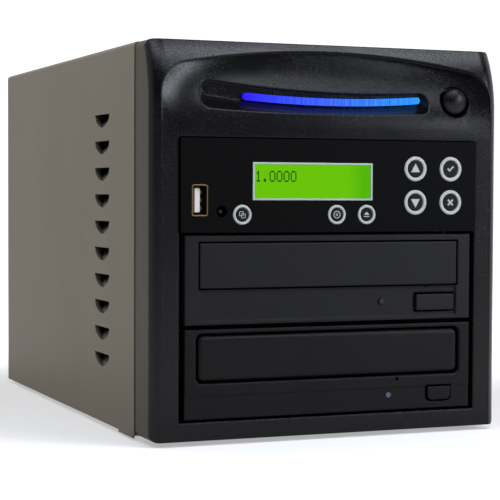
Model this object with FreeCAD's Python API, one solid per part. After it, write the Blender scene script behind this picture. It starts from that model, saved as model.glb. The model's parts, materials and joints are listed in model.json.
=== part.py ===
import FreeCAD, Part
import math
import os
from FreeCAD import Vector

os.makedirs("parts", exist_ok=True)

# Two-bay disc duplicator: a sheet-steel tower with a moulded front, a control panel and two drives.
# Millimetres, X to the right, Z up, the front faces -Y. The model is laid out with Y = 0 on the
# drives' faces and is moved at the end, so that the origin is under the middle of the finished box.

# Sheet metal case
sheet = 1.0
sheet_clearance = 0.3
foot_height = 2.5
foot_radius = 8.0
foot_inset = 28.0
rear_space = 104.0
cover_bend = 1.0
cover_gap = 1.2
rear_lip = 9.0
tab_drop = 1.2
tab_length = 22.0
tab_setback = 1.8
side_flange = 14.0
foot_taper = 1.2
cover_screw_inset = 24.0
header_window_margin = 6.0
supply_window_margin = 3.0

# Louvres in the two sides of the cover
louvre_count = 10
louvre_width = 24.0
louvre_height = 6.5
louvre_depth = 6.0
louvre_foot = 1.5
louvre_corner = 4.0
louvre_pitch = 13.13
louvre_setback = 51.3
louvre_drop = 31.7

# Bay stack, from the bottom up
bezel_sill = 8.6
bay_side_gap = 2.5
bay_end_gap = 1.3
bay_bevel = 0.5
drive_proud = 0.3
drive_height = 41.3
drive_gap = 1.9
panel_gap = 1.2
panel_height = 43.3
panel_clearance = 0.2
header_margin = 4.4

# Front bezel
pillar_width = 13.5
pillar_roll = 8.0
pillar_roll_depth = 5.4
pillar_crest = 0.7
bezel_depth = 24.7
bezel_wall = 2.5
bezel_corner = 3.5
collar_lip = 6.0
collar_gap = 0.1
brow_lean = 8.0
brow_lean_height = 29.5
arch_peak_drop = 3.5
arch_corner = 15.0
arch_corner_turn = 80.0
arch_end_drop = 25.0
arch_inset = 4.9
scoop_rise = 4.0
scoop_depth = 9.0
scoop_fullness = 6
scoop_columns = 17
scoop_rows = 12
scoop_overrun = 1.02
brow_sections = 4

# Slot and light bar in the header
slot_left = 68.3
slot_right = 54.5
slot_rise = 11.8
slot_left_height = 16.0
slot_right_height = 12.2
slot_sag = 2.9
slot_low_sag = 0.5
slot_depth = 8.0
slot_taper = 1.0
slot_left_dish = 4.8
slot_right_dish = 4.0
slot_left_ramp = 8.2
slot_mid_ramp = 4.2
slot_right_ramp = 6.0
bar_left = 41.2
bar_right = 47.3
bar_height = 3.2
bar_sag = 1.7
bar_rise = 19.7
bar_proud = 2.5
bar_clearance = 0.15
board_thickness = 1.6
light_board_margin = 4.0

# Power button
power_x = 66.7
power_rise = 19.6
power_well_radius = 7.4
power_flare_depth = 0.4
power_flare_slope = 0.3
power_sunk = 0.3
power_cap_radius = 6.1
power_cap_length = 6.0
power_dome = 2.0
power_stem_radius = 3.0
power_stem_tip = 0.5
power_boss_wall = 2.0
power_travel = 2.5
switch_size = 12.0
switch_depth = 7.0
switch_corner = 1.0
running_clearance = 0.3

# Control panel: rises are from its lower edge, insets from its nearer side, X from its middle
panel_thickness = 3.0
panel_proud = 1.3
display_x = -10.5
display_width = 61.4
display_height = 17.6
display_rise = 23.7
display_border = 0.9
display_proud = 0.3
glass_sunk = 0.3
display_module_margin = 1.5
module_gap = 0.5
usb_inset = 9.1
usb_rise = 14.85
usb_width = 7.8
usb_height = 14.5
usb_sheet = 0.5
usb_corner = 1.2
usb_proud = 0.2
usb_tongue_shift = -0.8
usb_tongue_width = 2.5
usb_tongue_height = 11.0
usb_tongue_setback = 1.4
led_inset = 19.9
led_rise = 9.7
led_radius = 1.5
led_hole_radius = 2.7
led_sunk = 1.6
small_ring_radius = 4.6
small_ring_wall = 1.3
large_ring_radius = 5.95
large_ring_wall = 1.7
ring_proud = 0.6
ring_bevel = 0.35
cap_sunk = 0.4
cap_clearance = 0.2
ring_clearance = 0.05
cap_flange = 0.9
cap_flange_thickness = 1.1
cap_travel = 0.8
small_button_rise = 8.2
copy_button_inset = 29.9
source_button_x = 1.6
eject_all_button_x = 17.2
pad_left_inset = 33.1
pad_right_inset = 14.0
pad_lower_rise = 14.0
pad_upper_rise = 30.1
tact_size = 6.0
tact_actuator_radius = 1.75
tact_actuator_height = 1.0
tact_height = 3.5
tact_gap = 0.4
bracket_depth = 60.0
bracket_rise = 1.0
bracket_height = 36.0

# Drives: places are from the drive's middle and its lower edge
rail_width = 8.1
face_overhang = 1.0
drive_sheet = 0.9
drive_edge = 0.4
face_thickness = 7.0
face_wall = 2.5
tray_front_thickness = 5.0
tray_front_clearance = 0.8
tray_side = 3.5
tray_rise = 22.4
tray_thickness = 7.0
tray_travel = 135.0
tray_keep = 23.0
tray_end_gap = 7.0
tray_rib = 2.4
tray_rib_height = 3.0
disc_radius = 60.5
disc_margin = 7.0
disc_well_depth = 5.0
small_disc_radius = 40.5
small_disc_step = 0.8
tray_corner = 6.0
tray_slot_half = 22.0
rack_wall = 2.8
rack_inset = 1.0
gear_module = 1.0
gear_teeth = 18
gear_dedendum = 1.25
gear_backlash = 0.25
pressure_angle = 20.0
gear_y = 21.0
gear_height = 4.6
gear_pin_radius = 2.0
frame_bar_depth = 22.0
bridge_thickness = 3.0
frame_setback = 2.0
deck_half_width = 42.0
deck_front_margin = 1.5
deck_thickness = 1.6
deck_floor_gap = 3.3
deck_pivot_inset = 20.0
deck_barrel_radius = 3.5
deck_pin_radius = 1.6
deck_pin_length = 6.0
deck_tilt = 4.0
motor_radius = 13.0
motor_height = 4.0
hub_radius = 7.2
hub_height = 9.5
hub_taper = 0.8
spindle_pin_radius = 1.5
spindle_gap = 0.3
sled_length = 18.0
sled_half_width = 19.0
sled_height = 6.0
sled_travel = 32.0
sled_rod_radius = 1.5
sled_rod_x = 14.0
sled_post = 2.0
lens_radius = 2.2
lens_height = 1.2
eject_travel = 1.0
eject_clearance = 0.9
eject_proud = 0.5
eject_stop = 0.5
drive_led_radius = 1.35
drive_led_length = 5.0
drive_led_clearance = 0.05
pin_hole_radius = 0.8
face_rim = 1.8
face_edge = 0.6

# Faces of the two drives: margins and insets are from the face's sides, insets from its right side
upper_tray_margin = 7.4
upper_tray_low = 16.9
upper_tray_high = 37.6
upper_tray_corner = 0.6
upper_tray_edge = 0.4
upper_rim_edge = 0.2
upper_eject_inset = 19.3
upper_eject_rise = 8.3
upper_eject_width = 20.2
upper_eject_height = 7.6
upper_eject_corner = 0.5
upper_led_inset = 47.8
upper_led_rise = 9.2
upper_pin_inset = 24.0
upper_pin_rise = 16.2
upper_inset_margin = 7.6
upper_inset_low = 2.0
upper_inset_high = 15.8
upper_inset_depth = 0.9
lower_tray_margin = 6.5
lower_tray_low = 17.2
lower_tray_high = 38.5
lower_tray_corner = 3.0
lower_tray_edge = 2.4
lower_rim_edge = 1.0
lower_eject_inset = 16.8
lower_eject_rise = 7.1
lower_eject_width = 12.0
lower_eject_height = 6.3
lower_eject_corner = 2.4
lower_led_inset = 44.0
lower_led_rise = 7.2
lower_pin_inset = 39.5
lower_pin_rise = 14.8
lower_step_rise = 10.7
lower_step_depth = 0.5

# Bay bracket
bracket_wall_clearance = 0.2
bracket_foot = 9.0
bracket_length = 164.0
bracket_window_inset = 22.0
bracket_window_margin = 6.0
shelf_gap = 0.4

# Rear: supply, mains inlet with switch, fan
psu_width = 81.5
psu_height = 40.5
psu_length = 150.0
psu_x = -25.0
inlet_x = -12.0
inlet_width = 27.0
inlet_height = 20.0
inlet_depth = 17.0
inlet_wall = 1.7
inlet_bevel = 5.0
inlet_flange = 2.0
inlet_flange_thickness = 2.0
inlet_pin_spacing = 7.0
inlet_pin_width = 2.0
inlet_pin_height = 4.0
inlet_pin_length = 14.0
inlet_pin_drop = 2.0
rocker_width = 9.0
rocker_length = 15.0
rocker_gap = 0.7
rocker_tilt = 8.0
rocker_depth = 7.0
rocker_pin_radius = 1.2
rocker_pivot_depth = 3.0
rocker_proud = 0.8
vent_slots = 6
vent_slot_width = 2.2
vent_slot_height = 24.0
vent_slot_pitch = 4.4
vent_slot_corner = 1.0
vent_margin = 8.0
fan_size = 80.0
fan_depth = 25.0
fan_z = 62.0
fan_wall = 1.5
fan_hub_radius = 17.0
fan_strut = 3.0
fan_shaft_radius = 2.0
fan_shaft_length = 14.0
fan_corner = 4.0
fan_blades = 7
fan_tip_gap = 1.2
fan_root_pitch = 48.0
fan_tip_pitch = 28.0
fan_screw_spacing = 71.5
grille_rings = 4
grille_web = 2.4

# Screws
screw_radius = 1.5
screw_head_radius = 3.0
screw_head_height = 1.9
screw_head_bevel = 0.9
screw_length = 6.0
screw_clearance = 0.1
bay_screw_rise = 10.0
bay_screw_setback = 47.0
bay_screw_spacing = 79.0

# Worked-out places
tray_length = tray_travel + tray_keep
tray_half_width = disc_radius + tray_side
drive_depth = tray_front_thickness + tray_length + tray_end_gap
disc_centre_y = tray_front_thickness + disc_margin + disc_radius
deck_pivot_y = drive_depth - deck_pivot_inset
deck_length = deck_pivot_y - disc_centre_y + motor_radius + deck_front_margin
deck_drop = deck_length * math.sin(math.radians(deck_tilt))
deck_rise = drive_edge + drive_sheet + deck_floor_gap + deck_drop
eject_back = face_thickness - eject_travel - eject_stop
drive_housing_width = 2 * (tray_half_width + rail_width + drive_sheet)
drive_half = drive_housing_width / 2 + face_overhang
bay_half = drive_half + bay_side_gap
case_half = bay_half + pillar_width
case_bottom = foot_height
bay_bottom = case_bottom + bezel_sill
lower_drive = bay_bottom + bay_end_gap
upper_drive = lower_drive + drive_height + drive_gap
panel_bottom = upper_drive + drive_height + panel_gap
panel_top = panel_bottom + panel_height
bay_top = panel_top + panel_clearance
case_top = bay_top + psu_height + header_margin
face_front = drive_proud
panel_front = face_front - panel_proud
pillar_front = face_front - pillar_crest
bezel_back = pillar_front + bezel_depth
plate_back = bezel_back + sheet
cover_front = bezel_back + cover_gap
cover_back = drive_depth + rear_space
panel_back_y = panel_front + panel_thickness
rear_inner = cover_back - 2 * sheet
rear_outer = cover_back - sheet
base_top = case_bottom + sheet
chassis_half = case_half - sheet - sheet_clearance
chassis_top = case_top - sheet - sheet_clearance
arch_half = case_half - arch_inset
bay_wall_inner = drive_housing_width / 2 + bracket_wall_clearance
bay_wall_outer = bay_wall_inner + sheet
shelf_z = bay_top + shelf_gap
psu_bottom = shelf_z + sheet
psu_x_span = (psu_x - psu_width / 2, psu_x + psu_width / 2)
psu_z_span = (psu_bottom, psu_bottom + psu_height)
header_bottom = bay_top + bezel_wall
panel_half = bay_half - panel_clearance
usb_x = usb_inset - panel_half
usb_tongue_x = usb_x + usb_tongue_shift
led_x = led_inset - panel_half
copy_button_x = copy_button_inset - panel_half
pad_left_x = panel_half - pad_left_inset
pad_right_x = panel_half - pad_right_inset
flange_front = panel_back_y + running_clearance
cap_back = flange_front + cap_flange_thickness
cap_front = panel_front - ring_proud + cap_sunk
tact_front = cap_back + cap_travel + tact_gap
board_front = tact_front + tact_height
module_front = panel_back_y + module_gap
bracket_half = drive_housing_width / 2
board_bottom = panel_bottom + bracket_rise + sheet
board_top = panel_bottom + bracket_height
display_z = panel_bottom + display_rise
usb_z = panel_bottom + usb_rise
slot_back = face_front + slot_depth
header_floor = face_front + scoop_depth + bezel_wall
power_z = bay_top + power_rise
power_front = face_front + power_sunk
power_well_floor = power_front + power_cap_length + power_travel + running_clearance
stem_end = header_floor + power_stem_tip
boss_end = stem_end + power_travel + running_clearance
gear_pitch_radius = gear_module * gear_teeth / 2
rack_height = gear_height + running_clearance
front_most = panel_front - ring_proud
rear_most = cover_back + screw_head_height
middle = (front_most + rear_most) / 2


# Helpers


def block(x, y, z):
    """Box between (low, high) pairs along X, Y and Z."""
    return Part.makeBox(x[1] - x[0], y[1] - y[0], z[1] - z[0], Vector(x[0], y[0], z[0]))


def span(centre, length):
    """(low, high) pair of a length about its middle."""
    return (centre - length / 2, centre + length / 2)


def grown(pair, amount):
    """(low, high) pair widened at both ends."""
    return (pair[0] - amount, pair[1] + amount)


def rod(radius, start, end):
    """Round bar from one point to another."""
    run = Vector(*end) - Vector(*start)
    return Part.makeCylinder(radius, run.Length, Vector(*start), run)


def edges_along(shape, axis):
    """Straight edges of a shape that run along an axis."""
    straight = [edge for edge in shape.Edges if isinstance(edge.Curve, Part.Line)]
    return [edge for edge in straight if edge.tangentAt(edge.FirstParameter).cross(axis).Length < 1e-6]


ALONG_X = Vector(1, 0, 0)
ALONG_Y = Vector(0, 1, 0)
ALONG_Z = Vector(0, 0, 1)


def rounded(shape, radius, axis):
    """Box with its edges along one axis rounded."""
    return shape.makeFillet(radius, edges_along(shape, axis))


def outline(steps, lift):
    """Closed face. A step is the next corner, or (through, end) for an arc; lift puts it in space."""
    edges = []
    here = steps[0]
    for step in steps[1:] + [steps[0]]:
        if isinstance(step[0], tuple):
            through, there = step
            edges.append(Part.Arc(lift(here), lift(through), lift(there)).toShape())
        else:
            there = step
            if lift(here).distanceToPoint(lift(there)) > 1e-6:
                edges.append(Part.makeLine(lift(here), lift(there)))
        here = there
    return Part.Face(Part.Wire(edges))


def front_view(y):
    """Lift of (x, z) points to a plane that faces the front."""
    return lambda point: Vector(point[0], y, point[1])


def side_view(x):
    """Lift of (y, z) points to a plane that faces the side."""
    return lambda point: Vector(x, point[0], point[1])


def plan_view(z):
    """Lift of (x, y) points to a level plane."""
    return lambda point: Vector(point[0], point[1], z)


def turned(steps, seat, direction):
    """Solid turned from (radius, height) steps about a direction that starts at the seat."""
    solid = outline(steps, front_view(0)).revolve(Vector(0, 0, 0), ALONG_Z, 360)
    solid.Placement = FreeCAD.Placement(Vector(*seat), FreeCAD.Rotation(ALONG_Z, Vector(*direction)))
    return solid


def dome(radius, low, high):
    """Arc step of a turned outline, from (radius, low) to the axis, where it is level."""
    height = high - low
    ball = (radius ** 2 + height ** 2) / (2 * height)
    half_turn = math.asin(radius / ball) / 2
    through = (ball * math.sin(half_turn), high - ball * (1 - math.cos(half_turn)))
    return (through, (0, high))


def both_sides(shape):
    """A shape and its mirror image across the middle plane."""
    return [shape, shape.mirror(Vector(0, 0, 0), ALONG_X)]


def screw(seat, direction):
    """Pan-head screw: its head stands on the seat, along the direction."""
    steps = [(0, -screw_length), (screw_radius, -screw_length), (screw_radius, 0)]
    steps += [(screw_head_radius, 0), (screw_head_radius, screw_head_height - screw_head_bevel)]
    steps += [(screw_head_radius - screw_head_bevel, screw_head_height), (0, screw_head_height)]
    return turned(steps, seat, direction)


def screw_hole(seat, direction):
    """Hole for such a screw, from just above its seat to just past its point."""
    way = Vector(*direction)
    top = Vector(*seat) + way
    end = Vector(*seat) - way * (screw_length + 1)
    return rod(screw_radius + screw_clearance, top, end)


# Cover


def cover_section(inset, bottom, y):
    """End view of the cover set in by an amount: an upside-down U with bent top corners."""
    half = case_half - inset
    top = case_top - inset
    bend = cover_bend + sheet - inset
    short = bend * (1 - math.sqrt(0.5))
    steps = [(-half, bottom), (-half, top - bend), ((short - half, top - short), (bend - half, top))]
    steps += [(half - bend, top), ((half - short, top - short), (half, top - bend)), (half, bottom)]
    return outline(steps, front_view(y))


def louvre_prism(extra, top, deep):
    """Louvre's side view, a straight edge above three arcs, grown by an amount, between two X."""
    corner = louvre_corner + extra
    inset = louvre_width / 2 - louvre_corner
    below = louvre_height - louvre_corner
    turn = math.atan2((inset ** 2 - below ** 2) / (2 * below), inset)
    middle_y = cover_front + louvre_setback

    def spot(side, angle):
        return (middle_y + side * (inset + corner * math.cos(angle)), top - corner * math.sin(angle))

    steps = [spot(-1, 0), (spot(-1, turn / 2), spot(-1, turn))]
    steps += [((middle_y, top - louvre_height - extra), spot(1, turn)), (spot(1, turn / 2), spot(1, 0))]
    return outline(steps, side_view(deep[0])).extrude(ALONG_X * (deep[1] - deep[0]))


def louvre_wedge(extra, top, start):
    """Cross-section of a louvre from an X inwards: a floor that slopes in towards the straight edge."""
    low = top - louvre_height - extra
    inner = extra - case_half
    steps = [(start, top), (inner + louvre_depth, top), (inner + louvre_foot, low), (start, low)]
    near = cover_front + louvre_setback - louvre_width
    return outline(steps, front_view(near)).extrude(ALONG_Y * 2 * louvre_width)


def louvre_tools(top):
    """Hole and pressed-in shell of one louvre in the left side, below a straight edge."""
    outside = -case_half - sheet
    deep = louvre_depth + sheet - case_half
    hollow = louvre_prism(0, top, (outside, deep)).common(louvre_wedge(0, top, outside))
    skin = louvre_prism(sheet, top, (-case_half, deep)).common(louvre_wedge(sheet, top, -case_half))
    return hollow, skin.cut(hollow)


def outer_cover():
    """Folded cover: top and two sides, a lip round the rear, louvres, and a tab below each front edge."""
    shell = cover_section(0, case_bottom, cover_front).extrude(ALONG_Y * (cover_back - cover_front))
    inside = cover_section(sheet, case_bottom - sheet, cover_front)
    shell = shell.cut(inside.extrude(ALONG_Y * (rear_outer - cover_front)))
    lip_half = case_half - sheet - rear_lip
    shell = shell.cut(block((-lip_half, lip_half), (cover_front, cover_back + sheet),
                            (case_bottom - sheet, case_top - sheet - rear_lip)))
    tab_front = cover_front + tab_setback
    tab = block((case_half - sheet, case_half), (tab_front, tab_front + tab_length),
                (case_bottom - tab_drop, case_bottom))
    holes = [screw_hole(seat, (0, 1, 0)) for seat in cover_screw_seats()]
    skins = both_sides(tab)
    for row in range(louvre_count):
        hole, skin = louvre_tools(case_top - louvre_drop - row * louvre_pitch)
        holes += both_sides(hole)
        skins += both_sides(skin)
    return shell.cut(holes).fuse(skins).removeSplitter()


def cover_screw_seats():
    """Seats of the six cover screws, three up each side of the rear lip."""
    x = case_half - sheet - rear_lip / 2
    heights = (case_bottom + cover_screw_inset, (case_bottom + case_top) / 2, case_top - cover_screw_inset)
    return [(side * x, cover_back, z) for z in heights for side in (-1, 1)]


# Chassis, feet and bay bracket


def fan_grille():
    """Openings of the fan grille: rings parted by webs and by a cross of spokes."""
    reach = fan_size / 2 - fan_wall
    pitch = (reach - grille_web) / grille_rings
    openings = []
    for ring in range(grille_rings):
        inner = grille_web + ring * pitch
        outer = inner + pitch - grille_web
        slot = rod(outer, (0, rear_inner - sheet, fan_z), (0, rear_outer + sheet, fan_z))
        slot = slot.cut(rod(inner, (0, rear_inner - sheet, fan_z), (0, rear_outer + sheet, fan_z)))
        spoke_y = (rear_inner - sheet, rear_outer + sheet)
        across = block((-fan_size, fan_size), spoke_y, span(fan_z, grille_web))
        upright = block(span(0, grille_web), spoke_y, span(fan_z, 2 * fan_size))
        openings.append(slot.cut([across, upright]))
    return openings


def fan_screw_seats():
    """Seats of the fan's four screws on the rear panel."""
    reach = fan_screw_spacing / 2
    return [(x, rear_outer, fan_z + z) for x in (-reach, reach) for z in (-reach, reach)]


def rear_screw_seats():
    """Seats of the cover's and the fan's screws, which all point out of the rear."""
    return [(seat, (0, 1, 0)) for seat in cover_screw_seats() + fan_screw_seats()]


def base_chassis():
    """Folded base with a front plate, a rear panel and low side flanges."""
    wide = (-chassis_half, chassis_half)
    base = block(wide, (bezel_back, rear_outer), (case_bottom, base_top))
    front = block(wide, (bezel_back, plate_back), (case_bottom, chassis_top))
    rear = block(wide, (rear_inner, rear_outer), (case_bottom, chassis_top))
    flange = block((chassis_half - sheet, chassis_half), (bezel_back, rear_outer),
                   (case_bottom, case_bottom + side_flange))
    body = base.fuse([front, rear] + both_sides(flange))
    bay = block((-bay_half, bay_half), (bezel_back - sheet, plate_back + sheet), (bay_bottom, bay_top))
    header = block((-bay_half, bay_half), (bezel_back - sheet, plate_back + sheet),
                   (bay_top + header_window_margin, chassis_top - header_window_margin))
    supply = block(grown(psu_x_span, -supply_window_margin), (rear_inner - sheet, rear_outer + sheet),
                   grown(psu_z_span, -supply_window_margin))
    holes = [screw_hole(seat, (0, 1, 0)) for seat in cover_screw_seats() + fan_screw_seats()]
    return body.cut([bay, header, supply] + fan_grille() + holes).removeSplitter()


def rubber_feet():
    """Four tapered feet under the base."""
    steps = [(0, 0), (foot_radius, 0), (foot_radius - foot_taper, -foot_height), (0, -foot_height)]
    reach = case_half - foot_inset
    rows = (cover_front + foot_inset, cover_back - foot_inset)
    return [turned(steps, (x, y, case_bottom), (0, 0, 1)) for x in (-reach, reach) for y in rows]


def bay_screw_spots():
    """(y, z) of the screws that hold the two drives and the controller bracket."""
    spots = []
    for bottom in (lower_drive, upper_drive):
        spots.append((bay_screw_setback, bottom + bay_screw_rise))
        spots.append((bay_screw_setback + bay_screw_spacing, bottom + bay_screw_rise))
    spots.append((bay_screw_setback, panel_bottom + bay_screw_rise))
    return spots


def bay_screw_seats():
    """Seats of the bay screws on the outside of the bracket, with their directions."""
    seats = [((bay_wall_outer, y, z), (1, 0, 0)) for y, z in bay_screw_spots()]
    return seats + [((-x, y, z), (-1, 0, 0)) for (x, y, z), _ in seats]


def bay_bracket():
    """Folded bracket: two walls that hold the drives, a shelf for the supply, and feet on the base."""
    deep = (plate_back, plate_back + bracket_length)
    wall = block((bay_wall_inner, bay_wall_outer), deep, (base_top, shelf_z + sheet))
    foot = block((bay_wall_outer, bay_wall_outer + bracket_foot), deep, (base_top, base_top + sheet))
    shelf = block((-bay_wall_inner, bay_wall_inner), deep, (shelf_z, shelf_z + sheet))
    body = shelf.fuse(both_sides(wall) + both_sides(foot))
    windows = []
    for bottom in (lower_drive, upper_drive, panel_bottom):
        window = block((-case_half, case_half), grown(deep, -bracket_window_inset),
                       (bottom + bay_screw_rise + bracket_window_margin,
                        bottom + drive_height - bracket_window_margin))
        windows.append(rounded(window, bracket_window_margin, ALONG_X))
    holes = [screw_hole(seat, way) for seat, way in bay_screw_seats()]
    return body.cut(windows + holes).removeSplitter()


# Front bezel, light bar and power button


def lean(z):
    """How far the front leans back at a height: an arc that starts upright below the brow."""
    radius = (brow_lean ** 2 + brow_lean_height ** 2) / (2 * brow_lean)
    rise = max(z - case_top + brow_lean_height, 0)
    return radius - math.sqrt(radius ** 2 - rise ** 2)


def bezel_section(z):
    """Level section of the bezel's outside: flat sides and a rounded roll on each front corner."""
    front = pillar_front + lean(z)
    start = case_half - pillar_roll
    radius = (pillar_roll ** 2 + pillar_roll_depth ** 2) / (2 * pillar_roll_depth)
    half_turn = math.atan2(pillar_roll, radius - pillar_roll_depth) / 2
    roll_x = start + radius * math.sin(half_turn)
    roll_y = front + radius * (1 - math.cos(half_turn))
    side_y = front + pillar_roll_depth
    steps = [(-case_half, bezel_back), (-case_half, side_y), ((-roll_x, roll_y), (-start, front))]
    steps += [(start, front), ((roll_x, roll_y), (case_half, side_y)), (case_half, bezel_back)]
    return outline(steps, plan_view(z))


def arch_shoulder():
    """(x, z) where the arch's tight corner meets its long low curve."""
    turn = math.radians(arch_corner_turn)
    x = arch_half - arch_corner * (1 - math.cos(turn))
    return (x, case_top - arch_end_drop + arch_corner * math.sin(turn))


def arch_face(bottom, y):
    """Front view of the hollow under the brow: upright sides, tight corners and a long low arch."""
    half_turn = math.radians(arch_corner_turn / 2)
    end_z = case_top - arch_end_drop
    corner_x = arch_half - arch_corner * (1 - math.cos(half_turn))
    corner_z = end_z + arch_corner * math.sin(half_turn)
    x, z = arch_shoulder()
    steps = [(-arch_half, bottom), (-arch_half, end_z), ((-corner_x, corner_z), (-x, z))]
    steps += [((0, case_top - arch_peak_drop), (x, z)), ((corner_x, corner_z), (arch_half, end_z))]
    return outline(steps + [(arch_half, bottom)], front_view(y))


def scoop_y(x, z):
    """Depth of the cove: level with the face at its foot, easing back towards the arch."""
    shoulder_x, shoulder_z = arch_shoulder()
    peak = case_top - arch_peak_drop
    foot = bay_top + scoop_rise
    arch_z = peak - (peak - shoulder_z) * (x / shoulder_x) ** 2
    share = min(max((z - foot) / (arch_z - foot), 0), 1)
    ends = max(1 - (x / arch_half) ** scoop_fullness, 0)
    return face_front + scoop_depth * ends * math.sin(share * math.pi / 2) ** 2


def scoop():
    """Cutter under the arch: the cove above, and below it the flat face between the pillars."""
    foot = bay_top + scoop_rise - bezel_wall
    grid = []
    for column in range(scoop_columns):
        x = arch_half * (2 * column / (scoop_columns - 1) - 1) * scoop_overrun
        heights = [foot + (case_top + 1 - foot) * row / (scoop_rows - 1) for row in range(scoop_rows)]
        grid.append([Vector(x, scoop_y(x, z), z) for z in heights])
    surface = Part.BSplineSurface()
    surface.interpolate(grid)
    ahead = pillar_front - bezel_depth
    reach = header_floor - ahead
    cove = surface.toShape().extrude(ALONG_Y * -reach)
    under_arch = arch_face(foot, ahead).extrude(ALONG_Y * reach)
    face = block((-arch_half, arch_half), (ahead, face_front), (case_bottom - 1, foot))
    return [cove.common(under_arch), face]


def slot_face(share, y):
    """Front view of the slot at a share of its depth: a tall round left end and sagging long edges."""
    low = bay_top + slot_rise
    left = share * slot_left_dish - slot_left
    right = slot_right - share * slot_right_dish
    left_low = low + share * slot_left_ramp
    right_low = low + share * slot_right_ramp
    left_top = low + slot_left_height - share * slot_taper
    right_top = low + slot_right_height - share * slot_taper
    left_round = (left_top - left_low) / 2
    right_round = (right_top - right_low) / 2
    mid = (left + right) / 2
    upper_mid = (mid, (left_top + right_top) / 2 - slot_sag)
    lower_mid = (mid, low - slot_low_sag + share * slot_mid_ramp)
    start = (left + left_round, left_low)
    steps = [start, ((left, left_low + left_round), (left + left_round, left_top))]
    steps += [(upper_mid, (right - right_round, right_top))]
    steps += [((right, right_low + right_round), (right - right_round, right_low)), (lower_mid, start)]
    return outline(steps, front_view(y))


def slot():
    """Cutter of the slot: straight in front of the face, then dished, most of all at its left end."""
    ahead = pillar_front - bezel_depth
    mouth = slot_face(0, ahead).extrude(ALONG_Y * (face_front - ahead))
    sections = [slot_face(0, face_front).OuterWire, slot_face(1, slot_back).OuterWire]
    return [mouth, Part.makeLoft(sections, True, True)]


def bar_prism(extra, y):
    """Light bar's sagging front view, grown by a clearance, between two depths."""
    end_z = bay_top + bar_rise
    half = bar_height / 2 + extra
    mid = (bar_right - bar_left) / 2
    start = (-bar_left, end_z - half)
    steps = [start, ((mid, end_z - bar_sag - half), (bar_right, end_z - half))]
    steps += [((bar_right + half, end_z), (bar_right, end_z + half))]
    steps += [((mid, end_z - bar_sag + half), (-bar_left, end_z + half))]
    steps += [((-bar_left - half, end_z), start)]
    return outline(steps, front_view(y[0])).extrude(ALONG_Y * (y[1] - y[0]))


def bezel_pockets():
    """Hollow back of the bezel: a gutter round the bay opening, and a shallower one in the header."""
    inner = case_half - bezel_wall
    gutter = block((-inner, inner), (face_front + bezel_wall, bezel_back + 1),
                   (case_bottom + bezel_wall, case_top - bezel_wall))
    surround = block((-bay_half - bezel_wall, bay_half + bezel_wall), (face_front, bezel_back + 2),
                     (bay_bottom - bezel_wall, header_bottom))
    header = block((-case_half, case_half), (face_front, header_floor), (header_bottom, case_top))
    return gutter.cut([surround, header])


def power_rod(radius, start, end):
    """Round bar on the power button's axis, between two depths."""
    return rod(radius, (power_x, start, power_z), (power_x, end, power_z))


def power_flare():
    """Cone that opens the mouth of the power button's well."""
    foot = scoop_y(power_x, power_z) + power_flare_depth
    length = foot - pillar_front + 1
    mouth_radius = power_well_radius + length * power_flare_slope
    return Part.makeCone(power_well_radius, mouth_radius, length, Vector(power_x, foot, power_z), -ALONG_Y)


def bay_mouth():
    """Cutter that bevels the front edge of the bay opening."""
    sections = []
    for extra, y in ((bay_bevel, face_front), (0, face_front + bay_bevel)):
        half = bay_half + extra
        low = bay_bottom - extra
        high = bay_top + extra
        corners = [(-half, low), (half, low), (half, high), (-half, high)]
        sections.append(outline(corners, front_view(y)).OuterWire)
    return Part.makeLoft(sections, True, True)


def frame_box(inset, front):
    """Rounded outline of the front, set in by an amount, from a depth to the bezel's back."""
    wide = (inset - case_half, case_half - inset)
    high = (case_bottom + inset, case_top - inset)
    return rounded(block(wide, (front, bezel_back), high), bezel_corner, ALONG_Y)


def behind_roll(gap):
    """Everything behind the rolled front, whose edge follows the lean of the brow, less a gap."""
    start = pillar_front + pillar_roll_depth - gap
    half_way = case_top - brow_lean_height / 2
    steps = [(start, case_bottom - 1), (start, case_top - brow_lean_height)]
    steps += [((start + lean(half_way), half_way), (start + brow_lean, case_top))]
    steps += [(start + brow_lean, case_top + 1), (bezel_back + 1, case_top + 1)]
    steps += [(bezel_back + 1, case_bottom - 1)]
    return outline(steps, side_view(-case_half - 1)).extrude(ALONG_X * 2 * (case_half + 1))


def front_collar():
    """Painted sheet frame round the back of the bezel, with a lip on the chassis's front plate."""
    ahead = pillar_front - 1
    band = frame_box(0, ahead).cut(frame_box(sheet, ahead)).common(behind_roll(0))
    lip = frame_box(0, bezel_back - sheet).cut(frame_box(collar_lip, bezel_back - 2 * sheet))
    return band.fuse(lip).removeSplitter()


def front_bezel():
    """Moulded bezel: rolled pillars, a brow that leans back over an arch, a cove, a slot and a bay."""
    ahead = pillar_front - 1
    lean_start = case_top - brow_lean_height
    lower = bezel_section(case_bottom).extrude(ALONG_Z * (lean_start - case_bottom))
    levels = [lean_start + brow_lean_height * step / (brow_sections - 1) for step in range(brow_sections)]
    upper = Part.makeLoft([bezel_section(level).OuterWire for level in levels], True)
    body = lower.fuse(upper).common(frame_box(0, ahead))
    band = behind_roll(collar_gap).cut(frame_box(sheet + collar_gap, ahead))
    lip = frame_box(-1, bezel_back - sheet).cut(frame_box(collar_lip - collar_gap, bezel_back - 2 * sheet))
    bay = block((-bay_half, bay_half), (ahead, bezel_back + 1), (bay_bottom, bay_top))
    well = power_rod(power_well_radius, ahead, power_well_floor)
    bar_hole = bar_prism(bar_clearance, (slot_back - 1, header_floor + 1))
    body = body.cut([band, lip, bay, bay_mouth(), bezel_pockets()])
    body = body.cut(scoop() + slot() + [well, power_flare(), bar_hole])
    guide_radius = power_stem_radius + running_clearance
    boss = power_rod(guide_radius + power_boss_wall, header_floor, boss_end)
    guide = power_rod(guide_radius, power_well_floor - 1, boss_end + 1)
    return body.fuse(boss).cut(guide).removeSplitter()


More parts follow.
